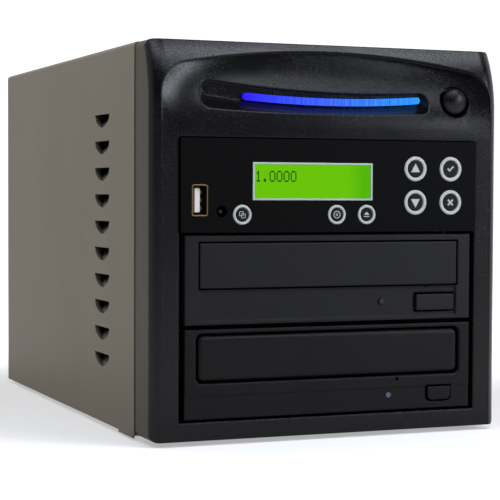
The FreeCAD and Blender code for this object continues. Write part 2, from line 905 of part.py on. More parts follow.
def light_bar():
    """Clear bar that stands proud of the slot's back wall."""
    return bar_prism(0, (slot_back - bar_proud, header_floor))


def light_board():
    """Circuit board with the lights, behind the bar."""
    end_z = bay_top + bar_rise
    reach = bar_height / 2 + light_board_margin
    return block((-bar_left - light_board_margin, bar_right + light_board_margin),
                 (header_floor, header_floor + board_thickness), (end_z - bar_sag - reach, end_z + reach))


def power_button():
    """Domed cap on a stem that runs in the bezel's guide."""
    length = power_cap_length
    shoulder = length - power_dome
    stem = power_well_floor - power_front - length + (stem_end - power_well_floor)
    steps = [(0, -stem), (power_stem_radius, -stem), (power_stem_radius, 0), (power_cap_radius, 0)]
    steps += [(power_cap_radius, shoulder), dome(power_cap_radius, shoulder, length)]
    return turned(steps, (power_x, power_front + length, power_z), (0, -1, 0))


def power_switch():
    """Push switch on the end of the boss behind the power button."""
    deep = (boss_end, boss_end + switch_depth)
    body = block(span(power_x, switch_size), deep, span(power_z, switch_size))
    return rounded(body, switch_corner, ALONG_Y)


# Control panel

SMALL = (small_ring_radius, small_ring_wall)
LARGE = (large_ring_radius, large_ring_wall)
BUTTONS = {
    "copy_button": (copy_button_x, small_button_rise, SMALL),
    "source_button": (source_button_x, small_button_rise, SMALL),
    "eject_all_button": (eject_all_button_x, small_button_rise, SMALL),
    "up_button": (pad_left_x, pad_upper_rise, LARGE),
    "down_button": (pad_left_x, pad_lower_rise, LARGE),
    "confirm_button": (pad_right_x, pad_upper_rise, LARGE),
    "cancel_button": (pad_right_x, pad_lower_rise, LARGE),
}


def display_block(extra, y):
    """Display's front view, grown by an amount, between two depths."""
    wide = grown(span(display_x, display_width), extra)
    high = grown(span(display_z, display_height), extra)
    return block(wide, y, high)


def usb_block(extra, y):
    """USB socket's front view, grown by an amount, between two depths."""
    wide = grown(span(usb_x, usb_width), extra)
    high = grown(span(usb_z, usb_height), extra)
    return rounded(block(wide, y, high), usb_corner + extra, ALONG_Y)


def control_panel():
    """Panel with openings for the display, the USB socket, the light and the ringed buttons."""
    through = (panel_front - 1, panel_back_y + 1)
    plate = block((-panel_half, panel_half), (panel_front, panel_back_y), (panel_bottom, panel_top))
    led_z = panel_bottom + led_rise
    cuts = [display_block(ring_clearance, through), usb_block(ring_clearance, through)]
    cuts.append(rod(led_hole_radius, (led_x, through[0], led_z), (led_x, through[1], led_z)))
    for x, rise, (radius, _) in BUTTONS.values():
        z = panel_bottom + rise
        cuts.append(rod(radius + ring_clearance, (x, through[0], z), (x, through[1], z)))
    return plate.cut(cuts)


def button_ring(x, rise, size):
    """Ring round a button, with a bevelled front, set in the panel."""
    radius, wall = size
    height = panel_thickness + ring_proud
    shoulder = height - ring_bevel
    inner = radius - wall
    steps = [(inner, 0), (radius, 0), (radius, shoulder), (radius - ring_bevel, height)]
    steps += [(inner + ring_bevel, height), (inner, shoulder)]
    return turned(steps, (x, panel_back_y, panel_bottom + rise), (0, -1, 0))


def button_cap(x, rise, size):
    """Button cap with a flange that keeps it behind its ring."""
    radius, wall = size
    cap = radius - wall - cap_clearance
    length = cap_back - cap_front
    edge = cap_sunk / 2
    steps = [(0, 0), (cap + cap_flange, 0), (cap + cap_flange, cap_flange_thickness)]
    steps += [(cap, cap_flange_thickness), (cap, length - edge), (cap - edge, length), (0, length)]
    return turned(steps, (x, cap_back, panel_bottom + rise), (0, -1, 0))


def tact_switch(x, rise):
    """Push switch on the controller board, behind a button."""
    z = panel_bottom + rise
    shoulder = tact_front + tact_actuator_height
    body = block(span(x, tact_size), (shoulder, board_front), span(z, tact_size))
    return body.fuse(rod(tact_actuator_radius, (x, tact_front, z), (x, shoulder, z)))


def display_frame():
    """Pale frame round the display window."""
    deep = (panel_front - display_proud, module_front)
    return display_block(0, deep).cut(display_block(-display_border, grown(deep, 1)))


def display_glass():
    """Glass inside the frame."""
    front = panel_front + glass_sunk - display_proud
    return display_block(-display_border - ring_clearance, (front, module_front))


def display_module():
    """Display's circuit board on four posts that stand on the controller board."""
    back = module_front + board_thickness
    plate = display_block(display_module_margin, (module_front, back))
    corner_x = display_width / 2 - screw_radius
    corner_z = display_height / 2 - screw_radius
    posts = []
    for x in (display_x - corner_x, display_x + corner_x):
        for z in (display_z - corner_z, display_z + corner_z):
            posts.append(rod(screw_radius, (x, back, z), (x, board_front, z)))
    return plate.fuse(posts)


def controller_board():
    """Controller board, standing between the bracket's walls."""
    half = bracket_half - sheet - screw_clearance
    return block((-half, half), (board_front, board_front + board_thickness), (board_bottom, board_top))


def controller_bracket():
    """Folded tray that carries the panel and the board in the top bay."""
    deep = (panel_back_y, panel_back_y + bracket_depth)
    bottom = panel_bottom + bracket_rise
    plate = block((-bracket_half, bracket_half), deep, (bottom, bottom + sheet))
    wall = block((bracket_half - sheet, bracket_half), deep, (bottom, board_top))
    holes = [screw_hole(seat, way) for seat, way in bay_screw_seats()]
    return plate.fuse(both_sides(wall)).cut(holes).removeSplitter()


def usb_shell():
    """Folded metal shell of the USB socket."""
    deep = (panel_front - usb_proud, board_front)
    return usb_block(0, deep).cut(usb_block(-usb_sheet, grown(deep, 1)))


def usb_tongue():
    """Contact tongue inside the USB shell."""
    return block(span(usb_tongue_x, usb_tongue_width), (panel_front + usb_tongue_setback, board_front),
                 span(usb_z, usb_tongue_height))


def status_led():
    """Small light behind a hole in the panel."""
    z = panel_bottom + led_rise
    length = board_front - panel_front - led_sunk
    straight = length - led_radius
    steps = [(0, 0), (led_radius, 0), (led_radius, straight), dome(led_radius, straight, length)]
    return turned(steps, (led_x, board_front, z), (0, -1, 0))


# Drives


def face_shape(x, z, corner, y):
    """Rounded front-view rectangle between two depths."""
    return rounded(block(x, y, z), corner, ALONG_Y)


def eject_shape(style, extra, y):
    """Eject button's front view, grown by a clearance, between two depths."""
    wide = grown(span(style["eject_x"], style["eject_width"]), extra)
    middle_z = style["bottom"] + style["eject_rise"]
    high = grown(span(middle_z, style["eject_height"]), extra)
    body = block(wide, y, high)
    lower = [edge for edge in edges_along(body, ALONG_Y) if edge.CenterOfMass.z < middle_z]
    chosen = lower if style["eject_flat_top"] else edges_along(body, ALONG_Y)
    return body.makeFillet(style["eject_corner"], chosen)


def front_edges(shape):
    """Edges of a shape that lie on the drives' front plane."""
    return [edge for edge in shape.Edges if abs(edge.BoundBox.YMin) + abs(edge.BoundBox.YMax) < 1e-6]


def face_rod(style, what, radius, y):
    """Round bar at the light or the pin hole of a drive's face, between two depths."""
    x = style[what + "_x"]
    z = style["bottom"] + style[what + "_rise"]
    return rod(radius, (x, y[0], z), (x, y[1], z))


def drive_face(style):
    """Moulded face of a drive: tray opening, eject button hole, light and emergency pin hole."""
    bottom = style["bottom"]
    body = block((-drive_half, drive_half), (0, face_thickness), (bottom, bottom + drive_height))
    body = body.makeFillet(face_edge, front_edges(body))
    hollow = block((face_rim - drive_half, drive_half - face_rim), (face_wall, face_thickness + 1),
                   (bottom + face_rim, bottom + drive_height - face_rim))
    through = (-1, face_thickness + 1)
    opening = face_shape(grown((-style["tray_half"], style["tray_half"]), tray_front_clearance),
                         grown(style["tray_z"], tray_front_clearance), style["tray_corner"], through)
    led = face_rod(style, "led", drive_led_radius + drive_led_clearance, (-1, face_wall + 1))
    pin = face_rod(style, "pin", pin_hole_radius, (-1, face_wall + 1))
    framed = body.cut(opening)
    rim = [edge for edge in front_edges(framed) if opening.BoundBox.isInside(edge.CenterOfMass)]
    framed = framed.makeFillet(style["rim_edge"], rim)
    return framed.cut([hollow, eject_shape(style, eject_clearance, through), led, pin, style["relief"]])


def tray_front(style):
    """Tray's front panel, with its front edges rounded."""
    wide = (-style["tray_half"], style["tray_half"])
    body = face_shape(wide, style["tray_z"], style["tray_corner"], (0, tray_front_thickness))
    return body.makeFillet(style["tray_edge"], front_edges(body))


def rack(bottom):
    """Rack under the tray's left side: a gap of its teeth meets the gear at rest."""
    pitch = math.pi * gear_module
    pitch_x = rack_back_x() + rack_wall + gear_dedendum * gear_module
    root_x = pitch_x - gear_dedendum * gear_module
    tip_x = pitch_x + gear_module
    slope = math.tan(math.radians(pressure_angle))
    half_tip = pitch / 4 - gear_backlash / 2 - slope * gear_module
    half_root = pitch / 4 - gear_backlash / 2 + slope * gear_dedendum * gear_module
    start = tray_front_thickness
    end = start + tray_length
    before = int((gear_y - start) / pitch - 0.5)
    after = int((end - gear_y) / pitch - 0.5)
    steps = [(rack_back_x(), start), (root_x, start)]
    for tooth in range(-before, after):
        y = gear_y + (tooth + 0.5) * pitch
        steps += [(root_x, y - half_root), (tip_x, y - half_tip)]
        steps += [(tip_x, y + half_tip), (root_x, y + half_root)]
    steps += [(root_x, end), (rack_back_x(), end)]
    return outline(steps, plan_view(bottom + tray_rise - rack_height)).extrude(ALONG_Z * rack_height)


def rack_back_x():
    """Plain side of the rack."""
    return rack_inset - tray_half_width


def gear_x():
    """Loading gear's axle, one pitch radius from the rack's pitch line."""
    return rack_back_x() + rack_wall + gear_dedendum * gear_module + gear_pitch_radius


def gear_rod(radius, low, high):
    """Round bar on the loading gear's axle, between two heights."""
    return rod(radius, (gear_x(), gear_y, low), (gear_x(), gear_y, high))


def loading_gear(style):
    """Involute gear that drives the tray's rack."""
    outer = gear_pitch_radius + gear_module
    root = gear_pitch_radius - gear_dedendum * gear_module
    base = gear_pitch_radius * math.cos(math.radians(pressure_angle))
    involute = math.tan(math.radians(pressure_angle)) - math.radians(pressure_angle)
    half_pitch = math.pi / (2 * gear_teeth) - gear_backlash / (2 * gear_pitch_radius)

    def half_angle(radius):
        turn = math.acos(min(base / radius, 1))
        return half_pitch + involute - (math.tan(turn) - turn)

    flank = [(radius, half_angle(radius)) for radius in (root, base, gear_pitch_radius, outer)]
    steps = []
    for tooth in range(gear_teeth):
        middle_angle = 2 * math.pi * tooth / gear_teeth
        turns = [(radius, middle_angle - angle) for radius, angle in flank]
        turns += [(radius, middle_angle + angle) for radius, angle in reversed(flank)]
        for radius, turn in turns:
            steps.append((gear_x() + radius * math.cos(turn), gear_y + radius * math.sin(turn)))
    low = style["bottom"] + tray_rise - running_clearance - gear_height
    body = outline(steps, plan_view(low)).extrude(ALONG_Z * gear_height)
    return body.cut(gear_rod(gear_pin_radius + running_clearance, low - 1, low + gear_height + 1))


def tray(style):
    """Disc tray: a stepped well, a slot for the spindle and pickup, side ribs and a rack."""
    low = style["bottom"] + tray_rise
    top = low + tray_thickness
    deep = (tray_front_thickness, tray_front_thickness + tray_length)
    wide = (-tray_half_width, tray_half_width)
    plate = rounded(block(wide, (deep[0] - tray_corner, deep[1]), (low, top)), tray_corner, ALONG_Z)
    plate = plate.common(block(wide, deep, (low, top)))
    y = disc_centre_y
    well = rod(disc_radius, (0, y, top - disc_well_depth), (0, y, top + 1))
    small_well = rod(small_disc_radius, (0, y, top - disc_well_depth - small_disc_step), (0, y, top))
    slot_end = rod(tray_slot_half, (0, y, low - 1), (0, y, top + 1))
    slot_run = block((-tray_slot_half, tray_slot_half), (y, deep[1] + 1), (low - 1, top + 1))
    rib_deep = (deep[0], deep[1] - tray_corner)
    rib = block((tray_half_width, tray_half_width + tray_rib), rib_deep, rib_span(style))
    body = plate.cut([well, small_well, slot_end, slot_run])
    return body.fuse(both_sides(rib) + [rack(style["bottom"])]).removeSplitter()


def rib_span(style):
    """Height of the tray's side ribs."""
    return span(style["bottom"] + tray_rise + tray_thickness / 2, tray_rib_height)


def drive_housing(style):
    """Steel tray of a drive: floor, two sides and a back."""
    half = drive_housing_width / 2
    floor = style["bottom"] + drive_edge
    body = block((-half, half), (face_thickness, drive_depth), (floor, lid_bottom(style)))
    hollow = block(grown((-half, half), -drive_sheet), (face_thickness - 1, drive_depth - drive_sheet),
                   (floor + drive_sheet, lid_bottom(style) + 1))
    holes = [screw_hole(seat, way) for seat, way in bay_screw_seats()]
    return body.cut([hollow] + holes)


def lid_bottom(style):
    """Seat of a drive's lid on its housing."""
    return style["bottom"] + drive_height - drive_edge - drive_sheet


def drive_lid(style):
    """Flat steel lid of a drive."""
    half = drive_housing_width / 2
    seat = lid_bottom(style)
    return block((-half, half), (face_thickness, drive_depth), (seat, seat + drive_sheet))


def frame_floor(style):
    """Top of the housing's floor, on which the loader frame stands."""
    return style["bottom"] + drive_edge + drive_sheet


def pivot_z(style):
    """Height of the deck's hinge line."""
    return style["bottom"] + deck_rise + deck_thickness / 2


def hinge_rod(style, radius, start, end):
    """Round bar on the deck's hinge line, between two places across the drive."""
    return rod(radius, (start, deck_pivot_y, pivot_z(style)), (end, deck_pivot_y, pivot_z(style)))


def loader_frame(style):
    """Moulded frame: grooved rails for the tray, two bridges, a post for the gear, pins for the deck."""
    floor = frame_floor(style)
    half = drive_housing_width / 2 - drive_sheet - screw_clearance
    inner = tray_half_width + running_clearance
    front = face_thickness + frame_setback
    back = drive_depth - drive_sheet - frame_setback
    rail_low = style["bottom"] + bay_screw_rise + screw_head_radius
    rail_high = style["bottom"] + tray_rise + tray_thickness + running_clearance
    rail = block((inner, half), (front, back), (rail_low, rail_high))
    groove = block((inner - 1, tray_half_width + tray_rib + running_clearance), (front - 1, back + 1),
                   grown(rib_span(style), running_clearance))
    rail = rail.cut(groove)
    gear_low = style["bottom"] + tray_rise - running_clearance - gear_height
    bridge_top = gear_low - running_clearance
    bridge_low = bridge_top - bridge_thickness
    front_bridge = block((-half, half), (front, front + frame_bar_depth), (bridge_low, bridge_top))
    rear_front = deck_pivot_y + deck_barrel_radius + frame_setback
    rear_bridge = block((-half, half), (rear_front, back), (bridge_low, bridge_top))
    front_leg = block((inner, half), (front, front + frame_bar_depth), (floor, bridge_top))
    rear_leg = block((inner, half), (rear_front, back), (floor, bridge_top))
    pin = gear_rod(gear_pin_radius, bridge_low, gear_low + gear_height)
    post_start = deck_half_width + running_clearance
    post_x = (post_start, post_start + bridge_thickness)
    post_z = (pivot_z(style) - deck_barrel_radius, bridge_top)
    post = block(post_x, (deck_pivot_y - deck_barrel_radius, back), post_z)
    hinge_pin = hinge_rod(style, deck_pin_radius, post_start - deck_pin_length, post_x[1])
    pairs = []
    for piece in (rail, front_leg, rear_leg, post, hinge_pin):
        pairs += both_sides(piece)
    return front_bridge.fuse([rear_bridge, pin] + pairs).removeSplitter()


def deck_top(style):
    """Upper face of the deck plate."""
    return style["bottom"] + deck_rise + deck_thickness


def sled_front_y():
    """Front of the pickup sled at rest, just behind the deck's front rod posts."""
    return disc_centre_y + motor_radius + 2 * running_clearance + sled_post + running_clearance


def rod_z(style):
    """Height of the sled's rods."""
    return deck_top(style) + running_clearance + sled_height / 2


def sled_rod(style, x, radius, start, end):
    """Round bar along one of the sled's rods, between two depths."""
    return rod(radius, (x, start, rod_z(style)), (x, end, rod_z(style)))


def deck(style):
    """Deck: a plate on a hinge barrel, with the spindle's pin and two rods for the pickup."""
    top = deck_top(style)
    low = style["bottom"] + deck_rise
    half = deck_half_width
    plate = block((-half, half), (deck_pivot_y - deck_length, deck_pivot_y), (low, top))
    barrel = hinge_rod(style, deck_barrel_radius, -half, half)
    bore = hinge_rod(style, deck_pin_radius + running_clearance, half - deck_pin_length - 1, half + 1)
    y = disc_centre_y
    pin = rod(spindle_pin_radius, (0, y, top - deck_thickness / 2), (0, y, top + motor_height))
    rods_front = sled_front_y() - running_clearance - sled_post
    rods_back = sled_front_y() + sled_length + sled_travel + running_clearance
    pieces = [barrel, pin]
    for x in (-sled_rod_x, sled_rod_x):
        pieces.append(sled_rod(style, x, sled_rod_radius, rods_front, rods_back + sled_post))
        for y in (rods_front, rods_back):
            pieces.append(block(span(x, 2 * sled_post + 2 * sled_rod_radius), (y, y + sled_post),
                                (low, rod_z(style) + 2 * sled_rod_radius)))
    return plate.fuse(pieces).cut(both_sides(bore)).removeSplitter()


def spindle(style):
    """Spindle: a flat motor rotor below and a disc hub above, turning on the deck's pin."""
    seat = deck_top(style) + spindle_gap
    bore = spindle_pin_radius + running_clearance
    top = motor_height + hub_height
    cone = hub_radius - hub_taper
    steps = [(bore, 0), (motor_radius, 0), (motor_radius, motor_height), (hub_radius, motor_height)]
    steps += [(hub_radius, top - 2 * hub_taper), (cone, top), (0, top), (0, motor_height + spindle_gap)]
    steps += [(bore, motor_height + spindle_gap)]
    return turned(steps, (0, disc_centre_y, seat), (0, 0, 1))


def pickup(style):
    """Pickup sled: a block that slides on two rods, with a lens on top."""
    low = deck_top(style) + running_clearance
    deep = (sled_front_y(), sled_front_y() + sled_length)
    body = block((-sled_half_width, sled_half_width), deep, (low, low + sled_height))
    bores = []
    for x in (-sled_rod_x, sled_rod_x):
        bores.append(sled_rod(style, x, sled_rod_radius + running_clearance, deep[0] - 1, deep[1] + 1))
    middle_y = (deep[0] + deep[1]) / 2
    top = low + sled_height
    lens = rod(lens_radius, (0, middle_y, top), (0, middle_y, top + lens_height))
    return body.cut(bores).fuse(lens)


def drive_light(style):
    """Small round light in a drive's face."""
    return face_rod(style, "led", drive_led_radius, (0, drive_led_length))


UPPER = {
    "bottom": upper_drive, "tray_half": drive_half - upper_tray_margin,
    "tray_corner": upper_tray_corner, "tray_edge": upper_tray_edge, "rim_edge": upper_rim_edge,
    "tray_z": (upper_drive + upper_tray_low, upper_drive + upper_tray_high),
    "eject_x": drive_half - upper_eject_inset, "eject_rise": upper_eject_rise,
    "eject_width": upper_eject_width,
    "eject_height": upper_eject_height, "eject_corner": upper_eject_corner, "eject_flat_top": False,
    "led_x": drive_half - upper_led_inset, "led_rise": upper_led_rise,
    "pin_x": drive_half - upper_pin_inset, "pin_rise": upper_pin_rise,
    "relief": block(grown((-drive_half, drive_half), -upper_inset_margin), (-1, upper_inset_depth),
                    (upper_drive + upper_inset_low, upper_drive + upper_inset_high)),
}
LOWER = {
    "bottom": lower_drive, "tray_half": drive_half - lower_tray_margin,
    "tray_corner": lower_tray_corner, "tray_edge": lower_tray_edge, "rim_edge": lower_rim_edge,
    "tray_z": (lower_drive + lower_tray_low, lower_drive + lower_tray_high),
    "eject_x": drive_half - lower_eject_inset, "eject_rise": lower_eject_rise,
    "eject_width": lower_eject_width,
    "eject_height": lower_eject_height, "eject_corner": lower_eject_corner, "eject_flat_top": True,
    "led_x": drive_half - lower_led_inset, "led_rise": lower_led_rise,
    "pin_x": drive_half - lower_pin_inset, "pin_rise": lower_pin_rise,
    "relief": block((-drive_half, drive_half), (-1, lower_step_depth),
                    (lower_drive - 1, lower_drive + lower_step_rise)),
}


# Supply, mains inlet, rocker switch and fan

inlet_z = psu_bottom + psu_height / 2
inlet_mid_x = psu_x + inlet_x
well_width = rocker_width + 2 * rocker_gap
well_height = rocker_length + 2 * rocker_gap
rocker_x = inlet_mid_x + inlet_width / 2 + inlet_wall + well_width / 2
rocker_front = rear_inner + inlet_flange_thickness
rocker_pivot_y = rocker_front - rocker_pivot_depth
module_span = (inlet_mid_x - inlet_width / 2, rocker_x + well_width / 2 + inlet_wall)
fan_front = rear_inner - fan_depth
fan_bore = fan_size / 2 - fan_wall


def inlet_body(extra):
    """Body of the inlet and switch moulding behind its flange, grown by a clearance."""
    return block(grown(module_span, extra), (rear_inner - inlet_depth, rear_inner),
                 grown(span(inlet_z, inlet_height), extra))


def psu_case():
    """Supply's steel case, hollow, with vent slots and an opening for the inlet in its rear."""
    deep = (rear_inner - psu_length, rear_inner)
    body = block(psu_x_span, deep, psu_z_span)
    hollow = block(grown(psu_x_span, -sheet), grown(deep, -sheet), grown(psu_z_span, -sheet))
    cuts = [hollow, inlet_body(screw_clearance)]
    for slot_number in range(vent_slots):
        x = psu_x_span[0] + vent_margin + slot_number * vent_slot_pitch
        opening = block(span(x, vent_slot_width), (rear_inner - 2 * sheet, rear_inner + 1),
                        span(inlet_z, vent_slot_height))
        cuts.append(rounded(opening, vent_slot_corner, ALONG_Y))
    return body.cut(cuts)


def inlet_cavity():
    """Cavity for the mains plug, with its two upper corners bevelled."""
    half = inlet_width / 2 - inlet_wall
    low = inlet_z - inlet_height / 2 + inlet_wall
    high = inlet_z + inlet_height / 2 - inlet_wall
    steps = [(-half, low), (-half, high - inlet_bevel), (inlet_bevel - half, high)]
    steps += [(half - inlet_bevel, high), (half, high - inlet_bevel), (half, low)]
    steps = [(inlet_mid_x + x, z) for x, z in steps]
    start = rear_inner - inlet_depth + inlet_wall
    return outline(steps, front_view(start)).extrude(ALONG_Y * (rocker_front + 1 - start))


def power_inlet():
    """Mains inlet and switch frame in one moulding, with a flange on the supply's rear."""
    flange = block(grown(module_span, inlet_flange), (rear_inner, rocker_front),
                   grown(span(inlet_z, inlet_height), inlet_flange))
    body = inlet_body(0).fuse(rounded(flange, inlet_flange, ALONG_Y))
    well = block(span(rocker_x, well_width), (rear_inner - inlet_depth + inlet_wall, rocker_front + 1),
                 span(inlet_z, well_height))
    pin = rod(rocker_pin_radius, (rocker_x - well_width / 2, rocker_pivot_y, inlet_z),
              (rocker_x + well_width / 2, rocker_pivot_y, inlet_z))
    return body.cut([inlet_cavity(), well]).fuse(pin).removeSplitter()


def inlet_pins():
    """Three flat pins on the floor of the inlet; the middle one stands higher."""
    floor = rear_inner - inlet_depth + inlet_wall
    pins = []
    for step in (-1, 0, 1):
        x = inlet_mid_x + step * inlet_pin_spacing
        z = inlet_z - inlet_pin_drop + (0 if step else 2 * inlet_pin_drop)
        deep = (floor, floor + inlet_pin_length)
        pins.append(block(span(x, inlet_pin_width), deep, span(z, inlet_pin_height)))
    return pins


def rocker_switch():
    """Rocker with a dished face, drawn in its off position."""
    half = rocker_length / 2
    front = rocker_front + rocker_proud
    back = front - rocker_depth
    dish = (front - rocker_proud, inlet_z)
    steps = [(back, inlet_z - half / 2), (front, inlet_z - half), (dish, (front, inlet_z + half))]
    steps += [(back, inlet_z + half / 2)]
    left = rocker_x - rocker_width / 2
    body = outline(steps, side_view(left)).extrude(ALONG_X * rocker_width)
    bore = rod(rocker_pin_radius + running_clearance, (left - 1, rocker_pivot_y, inlet_z),
               (left + rocker_width + 1, rocker_pivot_y, inlet_z))
    body = body.cut(bore)
    body.rotate(Vector(rocker_x, rocker_pivot_y, inlet_z), ALONG_X, rocker_tilt)
    return body


def fan_frame():
    """Square fan frame: a round duct, corner holes, and a cross of struts that holds the shaft."""
    deep = (fan_front, rear_inner)
    half = fan_size / 2
    body = rounded(block((-half, half), deep, (fan_z - half, fan_z + half)), fan_corner, ALONG_Y)
    body = body.cut(rod(fan_bore, (0, deep[0] - 1, fan_z), (0, deep[1] + 1, fan_z)))
    strut_y = (fan_front, fan_front + fan_strut)
    across = block((-fan_bore, fan_bore), strut_y, span(fan_z, fan_strut))
    upright = block(span(0, fan_strut), strut_y, span(fan_z, 2 * fan_bore))
    cup = rod(fan_hub_radius - fan_wall, (0, strut_y[0], fan_z), (0, strut_y[1], fan_z))
    shaft = rod(fan_shaft_radius, (0, strut_y[0], fan_z), (0, strut_y[1] + fan_shaft_length, fan_z))
    holes = [screw_hole(seat, (0, 1, 0)) for seat in fan_screw_seats()]
    return body.fuse([across, upright, cup, shaft]).cut(holes).removeSplitter()


def blade_section(radius, pitch, rise):
    """Flat blade section at a radius, turned by a pitch, that rises so far along the fan's axis."""
    turn = math.radians(pitch)
    along = Vector(0, math.sin(turn), math.cos(turn)) * (rise / math.sin(turn) / 2)
    over = Vector(0, math.cos(turn), -math.sin(turn)) * (fan_wall / 2)
    centre = Vector(radius, fan_front + fan_depth / 2 + fan_strut / 2, fan_z)
    corners = [centre + along + over, centre - along + over, centre - along - over, centre + along - over]
    return Part.makePolygon(corners + corners[:1])


def fan_rotor():
    """Fan rotor: a cup on the shaft with twisted blades that clear the duct."""
    front = fan_front + fan_strut + running_clearance
    back = rear_inner - running_clearance - fan_wall
    hub = rod(fan_hub_radius, (0, front, fan_z), (0, back, fan_z))
    rise = back - front - 2 * fan_wall
    root = blade_section(fan_hub_radius - fan_wall * 2, fan_root_pitch, rise)
    tip = blade_section(fan_size / 2, fan_tip_pitch, rise)
    blade = Part.makeLoft([root, tip], True, True)
    sweep = rod(fan_bore - fan_tip_gap, (0, front, fan_z), (0, back, fan_z))
    blades = []
    for number in range(fan_blades):
        turned_blade = blade.copy()
        turned_blade.rotate(Vector(0, 0, fan_z), ALONG_Y, 360 * number / fan_blades)
        blades.append(turned_blade.common(sweep))
    bore = rod(fan_shaft_radius + running_clearance, (0, front - 1, fan_z),
               (0, front + fan_shaft_length + running_clearance, fan_z))
    return hub.fuse(blades).cut(bore).removeSplitter()


# Pieces, one file each

PIECES = {
    "front_bezel": front_bezel(),
    "front_collar": front_collar(),
    "light_bar": light_bar(),
    "light_board": light_board(),
    "power_button": power_button(),
    "power_switch": power_switch(),
    "outer_cover": outer_cover(),
    "base_chassis": base_chassis(),
    "bay_bracket": bay_bracket(),
    "rubber_feet": rubber_feet(),
    "case_screws": [screw(seat, way) for seat, way in bay_screw_seats() + rear_screw_seats()],
    "control_panel": control_panel(),
    "display_frame": display_frame(),
    "display_glass": display_glass(),
    "display_module": display_module(),
    "controller_board": controller_board(),
    "controller_bracket": controller_bracket(),
    "button_rings": [button_ring(*place) for place in BUTTONS.values()],
    "tact_switches": [tact_switch(x, rise) for x, rise, _ in BUTTONS.values()],
    "usb_shell": usb_shell(),
    "usb_tongue": usb_tongue(),
    "status_led": status_led(),
    "psu_case": psu_case(),
    "power_inlet": power_inlet(),
    "inlet_pins": inlet_pins(),
    "rocker_switch": rocker_switch(),
    "fan_frame": fan_frame(),
    "fan_rotor": fan_rotor(),
}
for name, place in BUTTONS.items():
    PIECES[name] = button_cap(*place)
for prefix, style in (("upper", UPPER), ("lower", LOWER)):
    PIECES[prefix + "_drive_face"] = drive_face(style)
    PIECES[prefix + "_drive_housing"] = drive_housing(style)
    PIECES[prefix + "_drive_lid"] = drive_lid(style)
    PIECES[prefix + "_drive_light"] = drive_light(style)
    PIECES[prefix + "_eject_button"] = eject_shape(style, 0, (-eject_proud, eject_back))
    PIECES[prefix + "_tray_front"] = tray_front(style)
    PIECES[prefix + "_tray"] = tray(style)
    PIECES[prefix + "_loader_frame"] = loader_frame(style)
    PIECES[prefix + "_loading_gear"] = loading_gear(style)
    PIECES[prefix + "_deck"] = deck(style)
    PIECES[prefix + "_spindle"] = spindle(style)
    PIECES[prefix + "_pickup"] = pickup(style)

for name, piece in PIECES.items():
    shape = Part.makeCompound(piece) if isinstance(piece, list) else piece
    shape.translate(Vector(0, -middle, 0))
    shape.exportStep("parts/" + name + ".step")
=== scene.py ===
import json
import math

import bmesh
import bpy
import numpy as np
from mathutils import Matrix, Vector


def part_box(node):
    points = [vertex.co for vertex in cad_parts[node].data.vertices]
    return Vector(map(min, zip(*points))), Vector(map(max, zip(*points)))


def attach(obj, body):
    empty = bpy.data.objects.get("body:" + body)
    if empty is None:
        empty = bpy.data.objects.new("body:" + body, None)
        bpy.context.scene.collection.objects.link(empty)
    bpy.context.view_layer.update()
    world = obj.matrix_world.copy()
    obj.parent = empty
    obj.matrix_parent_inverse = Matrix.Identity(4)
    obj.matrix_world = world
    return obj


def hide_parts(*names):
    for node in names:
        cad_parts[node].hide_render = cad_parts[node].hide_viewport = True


# Two-bay disc duplicator: finishes and small printed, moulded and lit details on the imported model.
# Metres, X to the right, Z up, the front faces -Y. Colours are 8-bit sRGB.

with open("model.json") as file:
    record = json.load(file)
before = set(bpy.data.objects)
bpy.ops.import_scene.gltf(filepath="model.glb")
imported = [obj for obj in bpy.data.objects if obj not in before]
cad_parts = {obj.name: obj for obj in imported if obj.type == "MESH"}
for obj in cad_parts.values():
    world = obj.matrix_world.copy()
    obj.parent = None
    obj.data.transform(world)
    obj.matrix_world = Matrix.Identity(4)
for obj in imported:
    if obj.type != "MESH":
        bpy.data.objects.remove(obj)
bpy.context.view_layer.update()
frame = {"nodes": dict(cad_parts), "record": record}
nodes = frame["nodes"]

# Camera, as fitted to the drives' faces and the case's edges: radians, with lens and sensor in millimetres
CAMERA_PLACE = (-0.3198, -0.82197, 0.11657)
CAMERA_YAW = 0.385311778
CAMERA_PITCH = -0.0359260244
CAMERA_ROLL = 0.0037644372
CAMERA_LENS = 115.2
CAMERA_SENSOR = 36.0

# Moulded and folded edges: the radius over which they catch the light
EDGE_RADIUS = 0.0004
BEZEL_EDGE = 0.001
DRIVE_EDGE = 0.0012
EDGE_SAMPLES = 6

# Grain: noise per metre along X, Y and Z, and the share of its quicker noise in the colour
NOISE_MIDDLE = 0.5
SLOW_GRAIN = (40.0, 40.0, 40.0)
SPECK_GRAIN = (1200.0, 1200.0, 1200.0)
FINE_GRAIN = (2600.0, 2600.0, 2600.0)
SPECK_SHARE = 0.6
SHEET_DRIFT = (7.0, 22.0, 7.0)
STREAK_GRAIN = (16.0, 1500.0, 16.0)
STREAK_SHARE = 0.5

